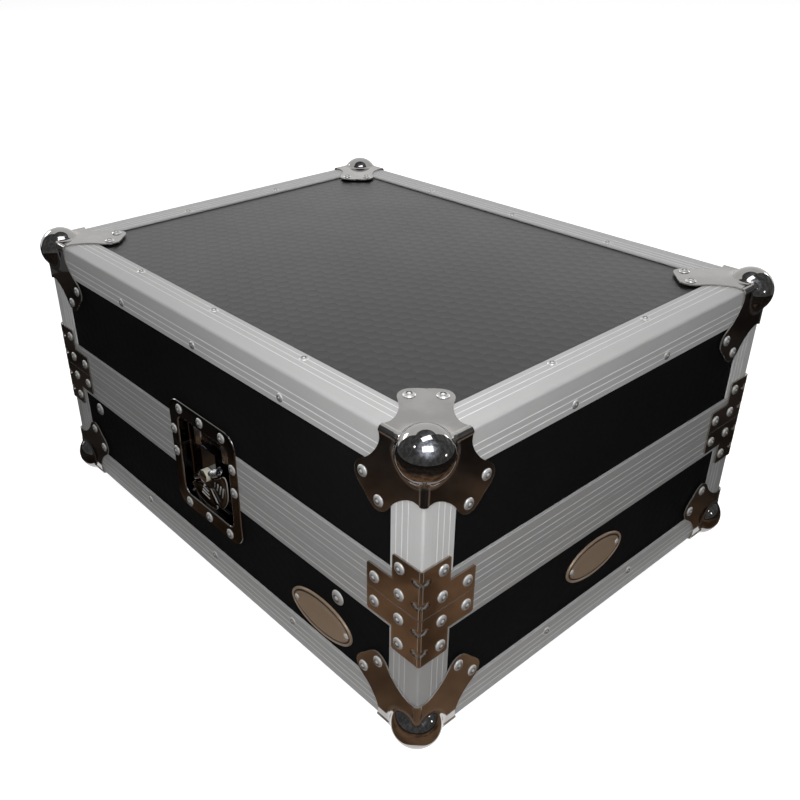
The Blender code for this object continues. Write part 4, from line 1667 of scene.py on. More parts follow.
@dataclass
class Braces:
    """The corner braces at the seam: bent plates with an upright, two wings and pressed gussets."""

    rivets: Rivets
    face: float = 0.0015
    thickness: float = 0.0012
    fold_round: float = 0.0019
    upright: float = 0.0283
    upright_height: float = 0.043
    wing: float = 0.054
    wing_height: float = 0.0215
    gap: float = 0.0003
    chamfer: float = 0.0015
    gusset_heights: Point2 = (0.012, 0.0315)
    gusset_middle: float = 0.0027
    gusset_reach: float = 0.0095
    gusset_rise: float = 0.003
    gusset_depth: float = 0.0013
    # Where the plating gets a painted highlight: round the gussets and along the fold.
    rubbed_leaf: Point2 = (0.35, 0.8)
    rubbed_fold: float = 0.0005
    rivet_radius: float = 0.0048
    rivet_spots_on_face: tuple[Point2, ...] = ((0.0195, 0.011), (0.0195, 0.034), (0.0445, 0.011))

    def surface(self, along: float, height: float) -> Vector:
        """A point of the outer skin.

        Args:
            along: distance from the fold round the plate, negative on the second face.
            height: distance from the seam.

        Returns:
            The point, with X and Y pointing into the case.
        """
        sharp = Vector((along - self.face, -self.face, height))
        if along < 0:
            sharp = Vector((-self.face, -along - self.face, height))
        core_edge = self.fold_round - self.face
        core = Vector((max(sharp.x, core_edge), max(sharp.y, core_edge), height))
        way = (sharp - core).normalized()
        pressed = self.gusset_depth * smooth_step(max(0.0, self.leaf(abs(along), height)) * 1.4)
        return core + way * (self.fold_round - pressed)

    def leaf(self, along: float, height: float) -> float:
        """How far inside a gusset's leaf-shaped outline a point is, negative outside it.

        Args:
            along: distance from the fold.
            height: distance from the seam.

        Returns:
            1 in the leaf's middle and 0 on its outline.
        """
        beyond = along - self.gusset_middle
        share = beyond / (self.gusset_reach - self.gusset_middle if beyond > 0 else self.gusset_middle)
        rises = ((height - middle) / self.gusset_rise for middle in self.gusset_heights)
        return max(1 - share**2 - rise**2 for rise in rises)

    def columns(self) -> list[float]:
        """Where the plate's grid has its columns, closer together round the fold and the gussets.

        Returns:
            Distances from the fold, negative on the second face.
        """
        step, ridge = 0.0006, 0.0023
        half = [0, 0.0003, 0.0006, 0.0009, 0.0013, 0.0018, ridge, *(ridge + step * i for i in range(1, 14))]
        half += [0.0125, 0.018, 0.023, self.upright - self.chamfer, self.upright]
        half += [self.upright + self.chamfer, 0.036, 0.044, self.wing - self.chamfer, self.wing]
        return [-column for column in reversed(half[1:])] + half

    def rows(self) -> list[float]:
        """Where the plate's grid has its rows, with one at each corner and chamfer.

        Returns:
            Distances from the seam.
        """
        step, top = 0.0006, self.upright_height - self.chamfer
        low, high = self.wing_height - self.chamfer, self.wing_height + self.chamfer
        made = [self.gap + step * i for i in range(34)] + [low, self.wing_height, high]
        made += [high + step * i for i in range(1, 30)]
        return [*sorted({round(row, 6) for row in made if row < top - step / 2}), top, self.upright_height]

    def rubbed(self, spot: Vector) -> float:
        """The painted highlight on the plating: along the fold and round the gussets.

        Args:
            spot: a point of the skin.

        Returns:
            From 0 to 1.
        """
        along = max(spot.x, spot.y) + self.face
        low, high = self.rubbed_leaf
        lip = 0.45 if low < self.leaf(along, spot.z) < high else 0.0
        return max(lip, 0.8 * max(0.0, 1 - abs(along - self.fold_round) / self.rubbed_fold))

    def skin(self) -> bpy.types.Mesh:
        """The brace's plate.

        Returns:
            The mesh.
        """
        columns, rows = self.columns(), self.rows()
        faces = []
        for i, pair in enumerate(zip(columns, columns[1:])):
            outer = max(abs(column) for column in pair)
            for k, top in enumerate(rows[1:]):
                if outer > self.upright + 1e-6 and top > self.wing_height + 1e-6:
                    continue
                low, ahead = i * len(rows) + k, (i + 1) * len(rows) + k
                quad = [low, ahead, ahead + 1, low + 1]
                for reach, height in ((self.wing, self.wing_height), (self.upright, self.upright_height)):
                    if abs(outer - reach) < 1e-6 and abs(top - height) < 1e-6:
                        quad.pop(2 if pair[1] > 0 else 3)
                faces.append(quad)
        points = [self.surface(column, row) for column in columns for row in rows]
        mesh = tidied(mesh_of("brace", points, faces), 2e-5)
        return pressed(mesh, self.thickness, (self.wing, self.wing, 0), 0.35, self.rubbed)

    def build(self) -> None:
        """Builds the eight half braces and their rivets."""
        plate = ("plate", self.skin(), Finishes.plating)
        spots = []
        for reach, height in self.rivet_spots_on_face:
            spots.append(((reach, -self.face, height), (0, -1, 0), self.rivet_radius))
            spots.append(((-self.face, reach, height), (-1, 0, 0), self.rivet_radius))
        levels = (("lower", Level.BASE, SIZES.seam, 1), ("upper", Level.LID, SIZES.seam, -1))
        at_corners("brace", plate, self.rivets.set_on(spots), levels)


# Badge plates


@dataclass
class Badges:
    """Bare oval plates with a raised rim, a dark ring and two pins."""

    rivets: Rivets
    half_length: float = 0.0375
    half_height: float = 0.01875
    pin_reach: float = 0.031
    pin_radius: float = 0.0028
    enamel_rows: tuple[int, int] = (5, 9)
    sides: int = 96

    def oval(self, inset: float, rise: float) -> list[Point3]:
        """A loop of the plate.

        Args:
            inset: how far inside the rim it is.
            rise: how far it stands out from the panel.

        Returns:
            The loop on XZ.
        """
        angles = [2 * math.pi * i / self.sides for i in range(self.sides)]
        long, short = self.half_length - inset, self.half_height - inset
        return [(long * math.cos(t), -rise, short * math.sin(t)) for t in angles]

    def plate(self) -> bpy.types.Mesh:
        """The stamped plate, with the ring's faces in the second material.

        Returns:
            The mesh.
        """
        rim = [(0, 0), (0, 0.0009), (0.0003, 0.0014), (0.001, 0.0017), (0.0018, 0.0016), (0.0023, 0.0011)]
        ring = [(0.0025, 0.0008), (0.0034, 0.0008), (0.0036, 0.0011), (0.004, 0.00125), (0.0046, 0.0012)]
        field = [(0.0056, 0.00115), (0.0062, 0.00135), (0.0068, 0.00135), (0.0074, 0.00115)]
        stations = [*rim, *ring, *field, (0.011, 0.0013), (0.0165, 0.0014)]
        mesh = mesh_of("badge", *loft([self.oval(*station) for station in stations]))
        for finish in (Finishes.badge, Finishes.enamel):
            mesh.materials.append(finish.material)
        for face in mesh.polygons[self.enamel_rows[0] * self.sides : self.enamel_rows[1] * self.sides]:
            face.material_index = 1
        return mesh

    def build(self) -> None:
        """Builds the two badges."""
        plate = self.plate()
        spots = [((x, -0.0011, 0), (0, -1, 0), self.pin_radius) for x in (-self.pin_reach, self.pin_reach)]
        pins = self.rivets.set_on(spots, HeadStyle.DOME)
        for node, side, x, z in (
            ("badge_front", Side.FRONT, 0.156, 0.0516),
            ("badge_right", Side.RIGHT, 0.0, 0.0664),
        ):
            place = SIZES.side_frame(side, SIZES.bottom) @ Matrix.Translation((x, SIZES.panel_face, z))
            piece(node + "_plate", plate, None, "base", [node], place)
            piece(node + "_pins", pins, None, "base", place=place)


# Foam


@dataclass
class FoamLinings:
    """The foam pads of the base and the lid, cut to the panels and lightly rounded."""

    outside: float = 0.0132
    thickness: float = 0.0145
    seam_setback: float = 0.0012
    softness: float = 0.0022
    joint_gap: float = 0.00005

    def build(self) -> None:
        """Builds both linings."""
        low, high = SIZES.bottom + self.outside, SIZES.seam - self.seam_setback
        self.lining(Level.BASE, low, high, low)
        low, high = SIZES.seam + self.seam_setback, SIZES.top - self.outside
        self.lining(Level.LID, low, high, high - self.thickness)

    def lining(self, level: Level, low: float, high: float, sheet_low: float) -> None:
        """Five pads that line one half.

        Args:
            level: the half.
            low: the pads' lowest height.
            high: their highest.
            sheet_low: the lowest height of the flat pad.
        """
        x, y = SIZES.half_length - self.outside, SIZES.half_width - self.outside
        t = self.thickness
        wall_low, wall_high = (low + t, high) if level is Level.BASE else (low, high - t)
        pads = [
            ((-x, -y, sheet_low), (x, y, sheet_low + t)),
            ((-x, -y, wall_low), (x, -y + t, wall_high)),
            ((-x, y - t, wall_low), (x, y, wall_high)),
            ((-x, -y + t, wall_low), (-x + t, y - t, wall_high)),
            ((x - t, -y + t, wall_low), (x, y - t, wall_high)),
        ]
        meshes = []
        for corner_low, corner_high in pads:
            mesh = bpy.data.meshes.new("pad")
            with edited(mesh) as work:
                bmesh.ops.create_cube(work, size=1)
                for vertex in work.verts:
                    ends = zip(corner_low, corner_high, vertex.co)
                    gap = self.joint_gap
                    vertex.co = Vector((b if c > 0 else a) - math.copysign(gap, c) for a, b, c in ends)
            meshes.append(with_modifiers(mesh, ("BEVEL", {"width": self.softness, "segments": 3})))
        node = f"{level.value}_foam_lining"
        made = piece(node + "_pads", joined(meshes), Finishes.foam, level.value, [node])


# Latches


@dataclass
class Latch:
    """A recessed butterfly latch: a dish in two halves, a turning spindle, a folding wing and a hook."""

    side: Side
    rivets: Rivets
    face: float = 0.0015
    thickness: float = 0.0012
    recess: float = 0.0095
    tilt: float = 30
    below_seam: float = 0.0145
    pin_depth: float = 0.0006
    dish_half: float = 0.0515
    dish_top: float = 0.046
    dish_bottom: float = 0.067
    dish_round: float = 0.014
    recess_half: float = 0.039
    recess_top: float = 0.030
    recess_bottom: float = 0.052
    recess_round: float = 0.008
    seam_gap: float = 0.0003
    hook_half: float = 0.011
    hook_face: float = 0.0035
    blade_lean: float = 3
    blade_thickness: float = 0.0011
    blade_setback: float = 0.0016
    blade_dish: float = 0.0011
    blade_roll: float = 0.0007
    knuckle: Point2 = (0.0062, 0.0114)
    knuckle_radius: float = 0.0026
    pin_half: float = 0.0245
    pin_radius: float = 0.0013
    sleeve: Point3 = (-0.0237, -0.0122, 0.0029)
    floor_depth: float = 0.0098
    rim_round: float = 0.0016
    floor_round: float = 0.002
    rivet_radius: float = 0.0048
    lid_rivet_heights: Point2 = (0.0386, 0.0135)
    base_rivet_heights: Point2 = (-0.0601, -0.010)
    ridge_reach: float = 0.0215
    guide_width: float = 0.0014
    guide_heights: Point2 = (-0.0185, -0.0105)
    keeper_lip: tuple[Point2, ...] = ((-0.012, 0.012), (0.0067, 0.0098), (0.0065, 0.0079))
    keeper_step: tuple[Point2, ...] = ((-0.0155, 0.0155), (0.0083, 0.0098), (0.0105, 0.0205))
    hook_low: float = -0.0115
    hook_top: float = 0.0239
    hook_hole: float = 0.0046
    claw_depth: float = 0.0063
    bead_turn: float = 42
    bead_radius: float = 0.0009

    @property
    def prefix(self) -> str:
        """How the names of this latch's nodes start."""
        return f"{self.side.label}_latch"

    @property
    def onto(self) -> Matrix:
        """The latch's frame: X along the case, Y inwards from its face, Z up from the seam."""
        return SIZES.side_frame(self.side, SIZES.seam)

    @property
    def pin_frame(self) -> Matrix:
        """The frame of the wing's pin, which leans by the tilt."""
        return self.onto @ Matrix.Translation((0, 0, -self.below_seam)) @ turned(-self.tilt, "Y")

    def dish_skin(self, is_lid: bool) -> bpy.types.Mesh:
        """The drawn sheet of one half of the dish.

        Args:
            is_lid: whether it is the lid's half.

        Returns:
            The plate with its thickness.
        """
        loops = []
        for share, inset, depth in self.dish_stations():
            half = self.dish_half + (self.recess_half - self.dish_half) * share
            low = -self.dish_bottom + (self.dish_bottom - self.recess_bottom) * share
            high = self.dish_top + (self.recess_top - self.dish_top) * share
            corner = self.dish_round + (self.recess_round - self.dish_round) * share
            radius = max(corner - inset, 0.0006)
            loops.append(rounded_loop(half - inset, low + inset, high - inset, radius, depth))
        points, faces = loft(loops, False)
        faces.append(list(range(len(points) - len(loops[0]), len(points))))
        mesh = mesh_of("dish", points, faces)
        with edited(mesh) as work:
            bmesh.ops.bisect_plane(
                work,
                geom=[*work.verts, *work.edges, *work.faces],
                plane_co=(0, 0, self.seam_gap if is_lid else -self.seam_gap),
                plane_no=(0, 0, 1),
                clear_inner=is_lid,
                clear_outer=not is_lid,
            )
            bmesh.ops.recalc_face_normals(work, faces=work.faces)
        return pressed(mesh, self.thickness, (0, 1, 0), 0.12, self.rubbed)

    @staticmethod
    def rubbed(spot: Vector) -> float:
        """The painted highlight on the dish: along the rounded rim of its recess."""
        return 0.3 if -0.0012 < spot.y < -0.0002 else 0.0

    def dish_stations(self) -> list[Point3]:
        """The drawn sheet's section from its outer edge to the middle of the floor.

        Returns:
            For each place: 0 on the flange to 1 at the recess, how far inside that outline, and its depth.
        """
        level = -self.face
        made = [(0.0, 0.0, -0.0004), (0.0, 0.0002, -0.001), (0.0, 0.0006, -0.0014), (0.0, 0.0013, level)]
        made += [(0.35, 0, level), (0.7, 0, level)]
        rim, bend = self.rim_round, self.floor_round
        for x, y in arc((0, 0), 1, 90, 0, 5):
            made.append((1.0, -rim * (1 - x), level + rim * (1 - y)))
        for x, y in arc((0, 0), 1, 0, 90, 6):
            made.append((1.0, 0.0006 + bend * (1 - x), self.recess - bend * (1 - y)))
        return [*made, (1.0, 0.006, self.recess), (1.0, 0.0075, self.recess)]

    def dish_rivets(self, is_lid: bool) -> bpy.types.Mesh:
        """The rivets of one half of the dish.

        Args:
            is_lid: whether it is the lid's half.

        Returns:
            One mesh with all of them.
        """
        row, beside = self.lid_rivet_heights if is_lid else self.base_rivet_heights
        spots = [(x, row) for x in (-0.033, 0, 0.033)] + [(x, beside) for x in (-0.0459, 0.0459)]
        return self.rivets.set_on([((x, -self.face, z), (0, -1, 0), self.rivet_radius) for x, z in spots])

    @staticmethod
    def plate(outline: Sequence[Point2], low: float, high: float, soften: float = 0.0003) -> bpy.types.Mesh:
        """A flat plate on XZ with softened edges.

        Args:
            outline: its outline.
            low: the nearer Y.
            high: the farther Y.
            soften: the width of its bevelled edges.

        Returns:
            The mesh.
        """
        loops = [[(a, depth, b) for a, b in outline] for depth in (low, high)]
        mesh = tidied(mesh_of("plate", *loft(loops)))
        bevel = {"width": soften, "segments": 2, "limit_method": "ANGLE", "angle_limit": math.radians(40)}
        return with_modifiers(mesh, ("BEVEL", bevel))

    @staticmethod
    def rod(start: float, stop: float, radius: float, sides: int = 24) -> bpy.types.Mesh:
        """A rod along X with slightly rounded ends.

        Args:
            start: the X where it starts.
            stop: the X where it stops.
            radius: its radius.
            sides: how many facets go round.

        Returns:
            The mesh.
        """
        soft = radius * 0.25
        profile = [(0, start), (radius - soft, start), (radius, start + soft)]
        profile += [(radius, stop - soft), (radius - soft, stop), (0, stop)]
        mesh = lathe(profile, sides)
        mesh.transform(Matrix(((0, 0, 1, 0), (1, 0, 0, 0), (0, 1, 0, 0), (0, 0, 0, 1))))
        return mesh

    def box(self, x: Point2, y: Point2, z: Point2, soften: float = 0.0004) -> bpy.types.Mesh:
        """A block with softened edges between two corners."""
        outline = [(x[0], z[0]), (x[1], z[0]), (x[1], z[1]), (x[0], z[1])]
        return self.plate(outline, y[0], y[1], soften)

    def post(self, middle: float) -> bpy.types.Mesh:
        """A half-round ridge pressed up from the floor of the lid's half.

        Args:
            middle: its X.

        Returns:
            The mesh.
        """
        foot, half_width, full_rise = 0.0101, 0.0054, 0.0052
        low_end = ((0.004, 0.2), (0.0043, 0.55), (0.005, 0.85), (0.0062, 1))
        high_end = ((0.0225, 1), (0.0238, 0.85), (0.0245, 0.5))
        loops = []
        for height, share in (*low_end, *high_end):
            half, rise = half_width * (0.7 + 0.3 * share), full_rise * share
            bow = [(middle + half * a, foot - rise * b, height) for a, b in arc((0, 0), 1, 0, 180, 16)]
            loops.append(bow)
        return tidied(mesh_of("post", *loft(loops)))

    def build_dish(self) -> None:
        """The two halves of the dish with the keeper and the hook's guides."""
        base_parts = [self.dish_skin(False)]
        near = self.hook_half + SIZES.fit
        for ends in ((-near - self.guide_width, -near), (near, near + self.guide_width)):
            base_parts.append(self.box(ends, (self.hook_face, self.floor_depth), self.guide_heights))
        lid_parts = [self.dish_skin(True), self.box(*self.keeper_lip), self.box(*self.keeper_step, 0.0006)]
        for body, parts in (("base", base_parts), ("lid", lid_parts)):
            node = f"{self.prefix}_{body}_dish"
            piece(node + "_plate", joined(parts), Finishes.dish_plating, body, [node], self.onto)
            heads = self.dish_rivets(body == "lid")
            piece(node + "_rivets", heads, None, body, place=self.onto)
        # The ridges are part of the dish's sheet but take the paler spring wire finish: a painted highlight.
        ridges = joined([self.post(-self.ridge_reach), self.post(self.ridge_reach)])
        piece(f"{self.prefix}_lid_ridges", ridges, Finishes.wire, "lid", place=self.onto)

    def build_hook(self) -> None:
        """The hook plate with its claw, which draws over the keeper."""
        half, low, top = self.hook_half, self.hook_low, self.hook_top
        hole = arc((0, 0), self.hook_hole, 0, 360, 24)[:-1]
        corners = [(half, top), (-half, top), (-half, low), (half, low)]
        points = [(a, self.hook_face, b) for a, b in hole + corners]
        count = len(hole)
        faces = []
        for quarter in range(4):
            first, last = quarter * count // 4, (quarter + 1) * count // 4
            faces += [[i, (i + 1) % count, count + quarter] for i in range(first, last)]
            faces.append([last % count, count + quarter, count + (quarter + 1) % 4])
        slab = pressed(tidied(mesh_of("hook", points, faces)), 0.001, (0, 1, 0))
        claw = self.box((-half, half), (self.hook_face, self.claw_depth), (top - 0.0009, top + 0.0001))
        place = self.onto @ Matrix.Translation((0, 0, -self.below_seam))
        node, body = f"{self.prefix}_hook", f"{self.side.label}_hook"
        piece(node + "_plate", joined([slab, claw]), Finishes.polished, body, [node], place)

    def build_spindle(self) -> None:
        """The turning stud with its foot, the wing's pin and the cream bush."""
        foot = [(0, -0.0092), (0.009, -0.0092), (0.009, -0.0084), (0.0086, -0.008), (0.0042, -0.008)]
        stud = lathe([*foot, (0.0042, 0.0037), (0, 0.0037)], 32)
        stud.transform(turned(90, "X"))
        pin, sleeve = self.rod(-self.pin_half, self.pin_half, self.pin_radius), self.rod(*self.sleeve, 32)
        for rod in (pin, sleeve):
            rod.transform(Matrix.Translation((0, self.pin_depth, 0)))
        node, body = f"{self.prefix}_spindle", f"{self.side.label}_spindle"
        parts = joined([stud, pin, sleeve])
        piece(node + "_stud", parts, Finishes.polished, body, [node], self.pin_frame)
        outward = self.pin_frame @ turned(90, "X")
        ring = [(0.0041, -0.0032), (0.0055, -0.0032), (0.0058, -0.0029), (0.0058, 0.0036), (0.0041, 0.0036)]
        bush = lathe([*ring, ring[0]], 40, False)
        piece(f"{self.prefix}_bush", bush, Finishes.nylon, body, place=outward)
        cap = [(0, 0.0036), (0.0057, 0.0036), (0.0059, 0.004), (0.0052, 0.0046), (0.003, 0.0051), (0, 0.0052)]
        piece(f"{self.prefix}_head", lathe(cap, 32), Finishes.plating, body, place=outward)

    def build_spring(self) -> None:
        """The coil round the pin, as wire that follows a spiral."""
        tree = ModifierTree(f"{self.prefix}_coil")
        turns, radius, length = tree.given("Turns"), tree.given("Radius"), tree.given("Length")
        wire = tree.given("Wire")
        spiral = {"Rotations": turns, "Start Radius": radius, "End Radius": radius, "Height": length}
        path = tree.node("GeometryNodeCurveSpiral", None, {"Resolution": 28, **spiral})
        section = tree.node("GeometryNodeCurvePrimitiveCircle", None, {"Resolution": 10, "Radius": wire})
        swept = {"Curve": path, "Profile Curve": section, "Fill Caps": True}
        tree.end(tree.node("GeometryNodeCurveToMesh", None, swept))
        values = {"Turns": 6.0, "Radius": 0.0034, "Length": 0.0115, "Wire": 0.0006}
        coil = tree.grow(mesh_of("coil", [(0, 0, 0)], []), values | {"Finish": Finishes.wire.material})
        onto_pin = Matrix(((0, 0, 1, 0.0122), (1, 0, 0, self.pin_depth), (0, 1, 0, 0), (0, 0, 0, 1)))
        node = f"{self.prefix}_spring"
        body = f"{self.side.label}_spindle"
        piece(node + "_coil", coil, None, body, [node], self.pin_frame @ onto_pin, 50)

    def wing_outline(self) -> list[Point2]:
        """The butterfly's outline below the pin: two lobes, a cleft and a notch for the stud.

        Returns:
            Its points on XZ.
        """
        lobe = arc((0, 0), 0.0335, -15, -72, 14)
        start = [(0.0076, -0.0052), (0.0118, -0.0052), (0.0246, -0.0052), (0.0262, -0.0042), (0.03, -0.0042)]
        end = [(0.0072, -0.033), (0.0045, -0.0325), (0.003, -0.03), (0.0024, -0.025), (0.0019, -0.019)]
        right = spline_through([*start, (0.0322, -0.0056), *lobe, *end, (0.0012, -0.0142), (0, -0.0128)], 3)
        left = [(-a, b) for a, b in reversed(right[:-1])]
        notch = [(-0.0059, -0.006), (0, -0.006), (0.0059, -0.006)]
        return right + left + notch

    def grip_beads(self) -> list[bpy.types.Mesh]:
        """Short raised beads across each lobe for the fingertips.

        Returns:
            One mesh for each bead.
        """
        beads = []
        for turn in (-self.bead_turn, self.bead_turn):
            for reach, half in ((0.0135, 0.003), (0.0175, 0.0042), (0.0215, 0.0052), (0.0255, 0.006)):
                bead = self.rod(-half, half, self.bead_radius, 14)
                bead.transform(turned(-turn, "Y") @ Matrix.Translation((0, -self.bead_radius, -reach)))
                beads.append(bead)
        return beads

    def build_wing(self) -> None:
        """The folding wing: a dished blade with a rolled edge and two knuckles on the pin."""
        outline = self.wing_outline()
        centre = Vector((0, -0.013))
        shares = [0.12, 0.28, 0.44, 0.58, 0.7, 0.8, 0.87, 0.92, 0.96, 0.985, 1.0]
        loops = []
        for share in shares:
            loop = []
            for a, b in outline:
                spot = centre + (Vector((a, b)) - centre) * share
                dish = smooth_step(abs(spot.x) / 0.03) * (1 - smooth_step((share - 0.6) / 0.3))
                roll = smooth_step((share - 0.82) / 0.12) * smooth_step((-b - 0.008) / 0.01)
                loop.append((spot.x, self.blade_dish * dish - self.blade_roll * roll, spot.y))
            loops.append(loop)
        points, faces = loft(loops, False)
        count = len(outline)
        faces += [[len(points), i, (i + 1) % count] for i in range(count)]
        points.append((0, 0, centre.y))
        # The blade's whole edge gets the full painted highlight.
        blade = pressed(tidied(mesh_of("wing", points, faces)), self.blade_thickness, (0, 1, 0), 1.0)
        blade.transform(Matrix.Translation((0, -self.blade_setback, 0)))
        beads = joined(self.grip_beads())
        for part in (blade, beads):
            part.transform(turned(self.blade_lean, "X"))
        parts = [blade]
        near, far = self.knuckle
        for ends in ((-far, -near), (near, far)):
            parts.append(self.rod(*ends, self.knuckle_radius, 28))
            parts.append(self.box(ends, (-self.blade_setback, -0.0004), (-0.0056, -0.0012), 0.0002))
        place = self.pin_frame @ Matrix.Translation((0, self.pin_depth, 0))
        node, body = f"{self.prefix}_wing", f"{self.side.label}_wing"
        piece(node + "_blade", joined(parts), Finishes.wing_plating, body, [node], place)
        # The beads, raised on the blade, take the paler rivet finish instead of the blade's: a painted
        # highlight.
        piece(node + "_beads", beads, Finishes.rivet, body, place=place)

    def build(self) -> None:
        """Builds the whole latch."""
        self.build_dish()
        self.build_hook()
        self.build_spindle()
        self.build_spring()
        self.build_wing()


# The studio


def seen(tree: Tree) -> Signal:
    """1 for what the camera, metal and glass see, 0 for what lights the object.

    Args:
        tree: the tree that reads it.

    Returns:
        The signal.
    """
    names = ("Is Camera Ray", "Is Glossy Ray", "Is Transmission Ray")
    camera, glossy, through = (tree.node("ShaderNodeLightPath", output=name) for name in names)
    return camera.maths("MAXIMUM", camera.maths("MAXIMUM", camera, glossy), through)


@dataclass(frozen=True)
class PaleFloor(Finish):
    """A floor that the camera sees as white, with the object's shadow on it."""

    def sockets(self, tree: Tree, place: Signal) -> dict[str, object]:
        """A faintly clouded grey that glows where it is seen.

        Args:
            tree: the material's tree.
            place: Object coordinates.

        Returns:
            The shader's sockets.
        """
        return {
            "Base Color": tree.mix_colour(tree.noise(place, 3, 4), (0.5, 0.5, 0.5), (0.52, 0.52, 0.52)),
            "Emission Color": WHITE,
            "Emission Strength": seen(tree) * 0.94,
            "Roughness": 1.0,
            "Specular IOR Level": 0.0,
        }


@dataclass(frozen=True)
class Cloth(Finish):
    """A patchy cloth of two colours, the second where its mesh says that it is away."""

    near: Colour
    far: Colour
    glow: float = 0.0
    spots: float = 9

    def sockets(self, tree: Tree, place: Signal) -> dict[str, object]:
        """Soft patches, in the same colours for what it reflects and for its painted glow.

        Args:
            tree: the material's tree.
            place: Object coordinates.

        Returns:
            The shader's sockets.
        """
        patches = tree.noise(place, self.spots, 3, 0.6).between(0.38, 0.64)
        near = tree.mix_colour(patches, scaled(self.near, 0.35), self.near)
        far = tree.mix_colour(patches, scaled(self.far, 0.5), self.far)
        colour = tree.mix_colour(tree.attribute("away"), near, far)
        return {
            "Base Color": colour,
            "Emission Color": colour,
            "Emission Strength": self.glow,
            "Specular IOR Level": 0.0,
        }


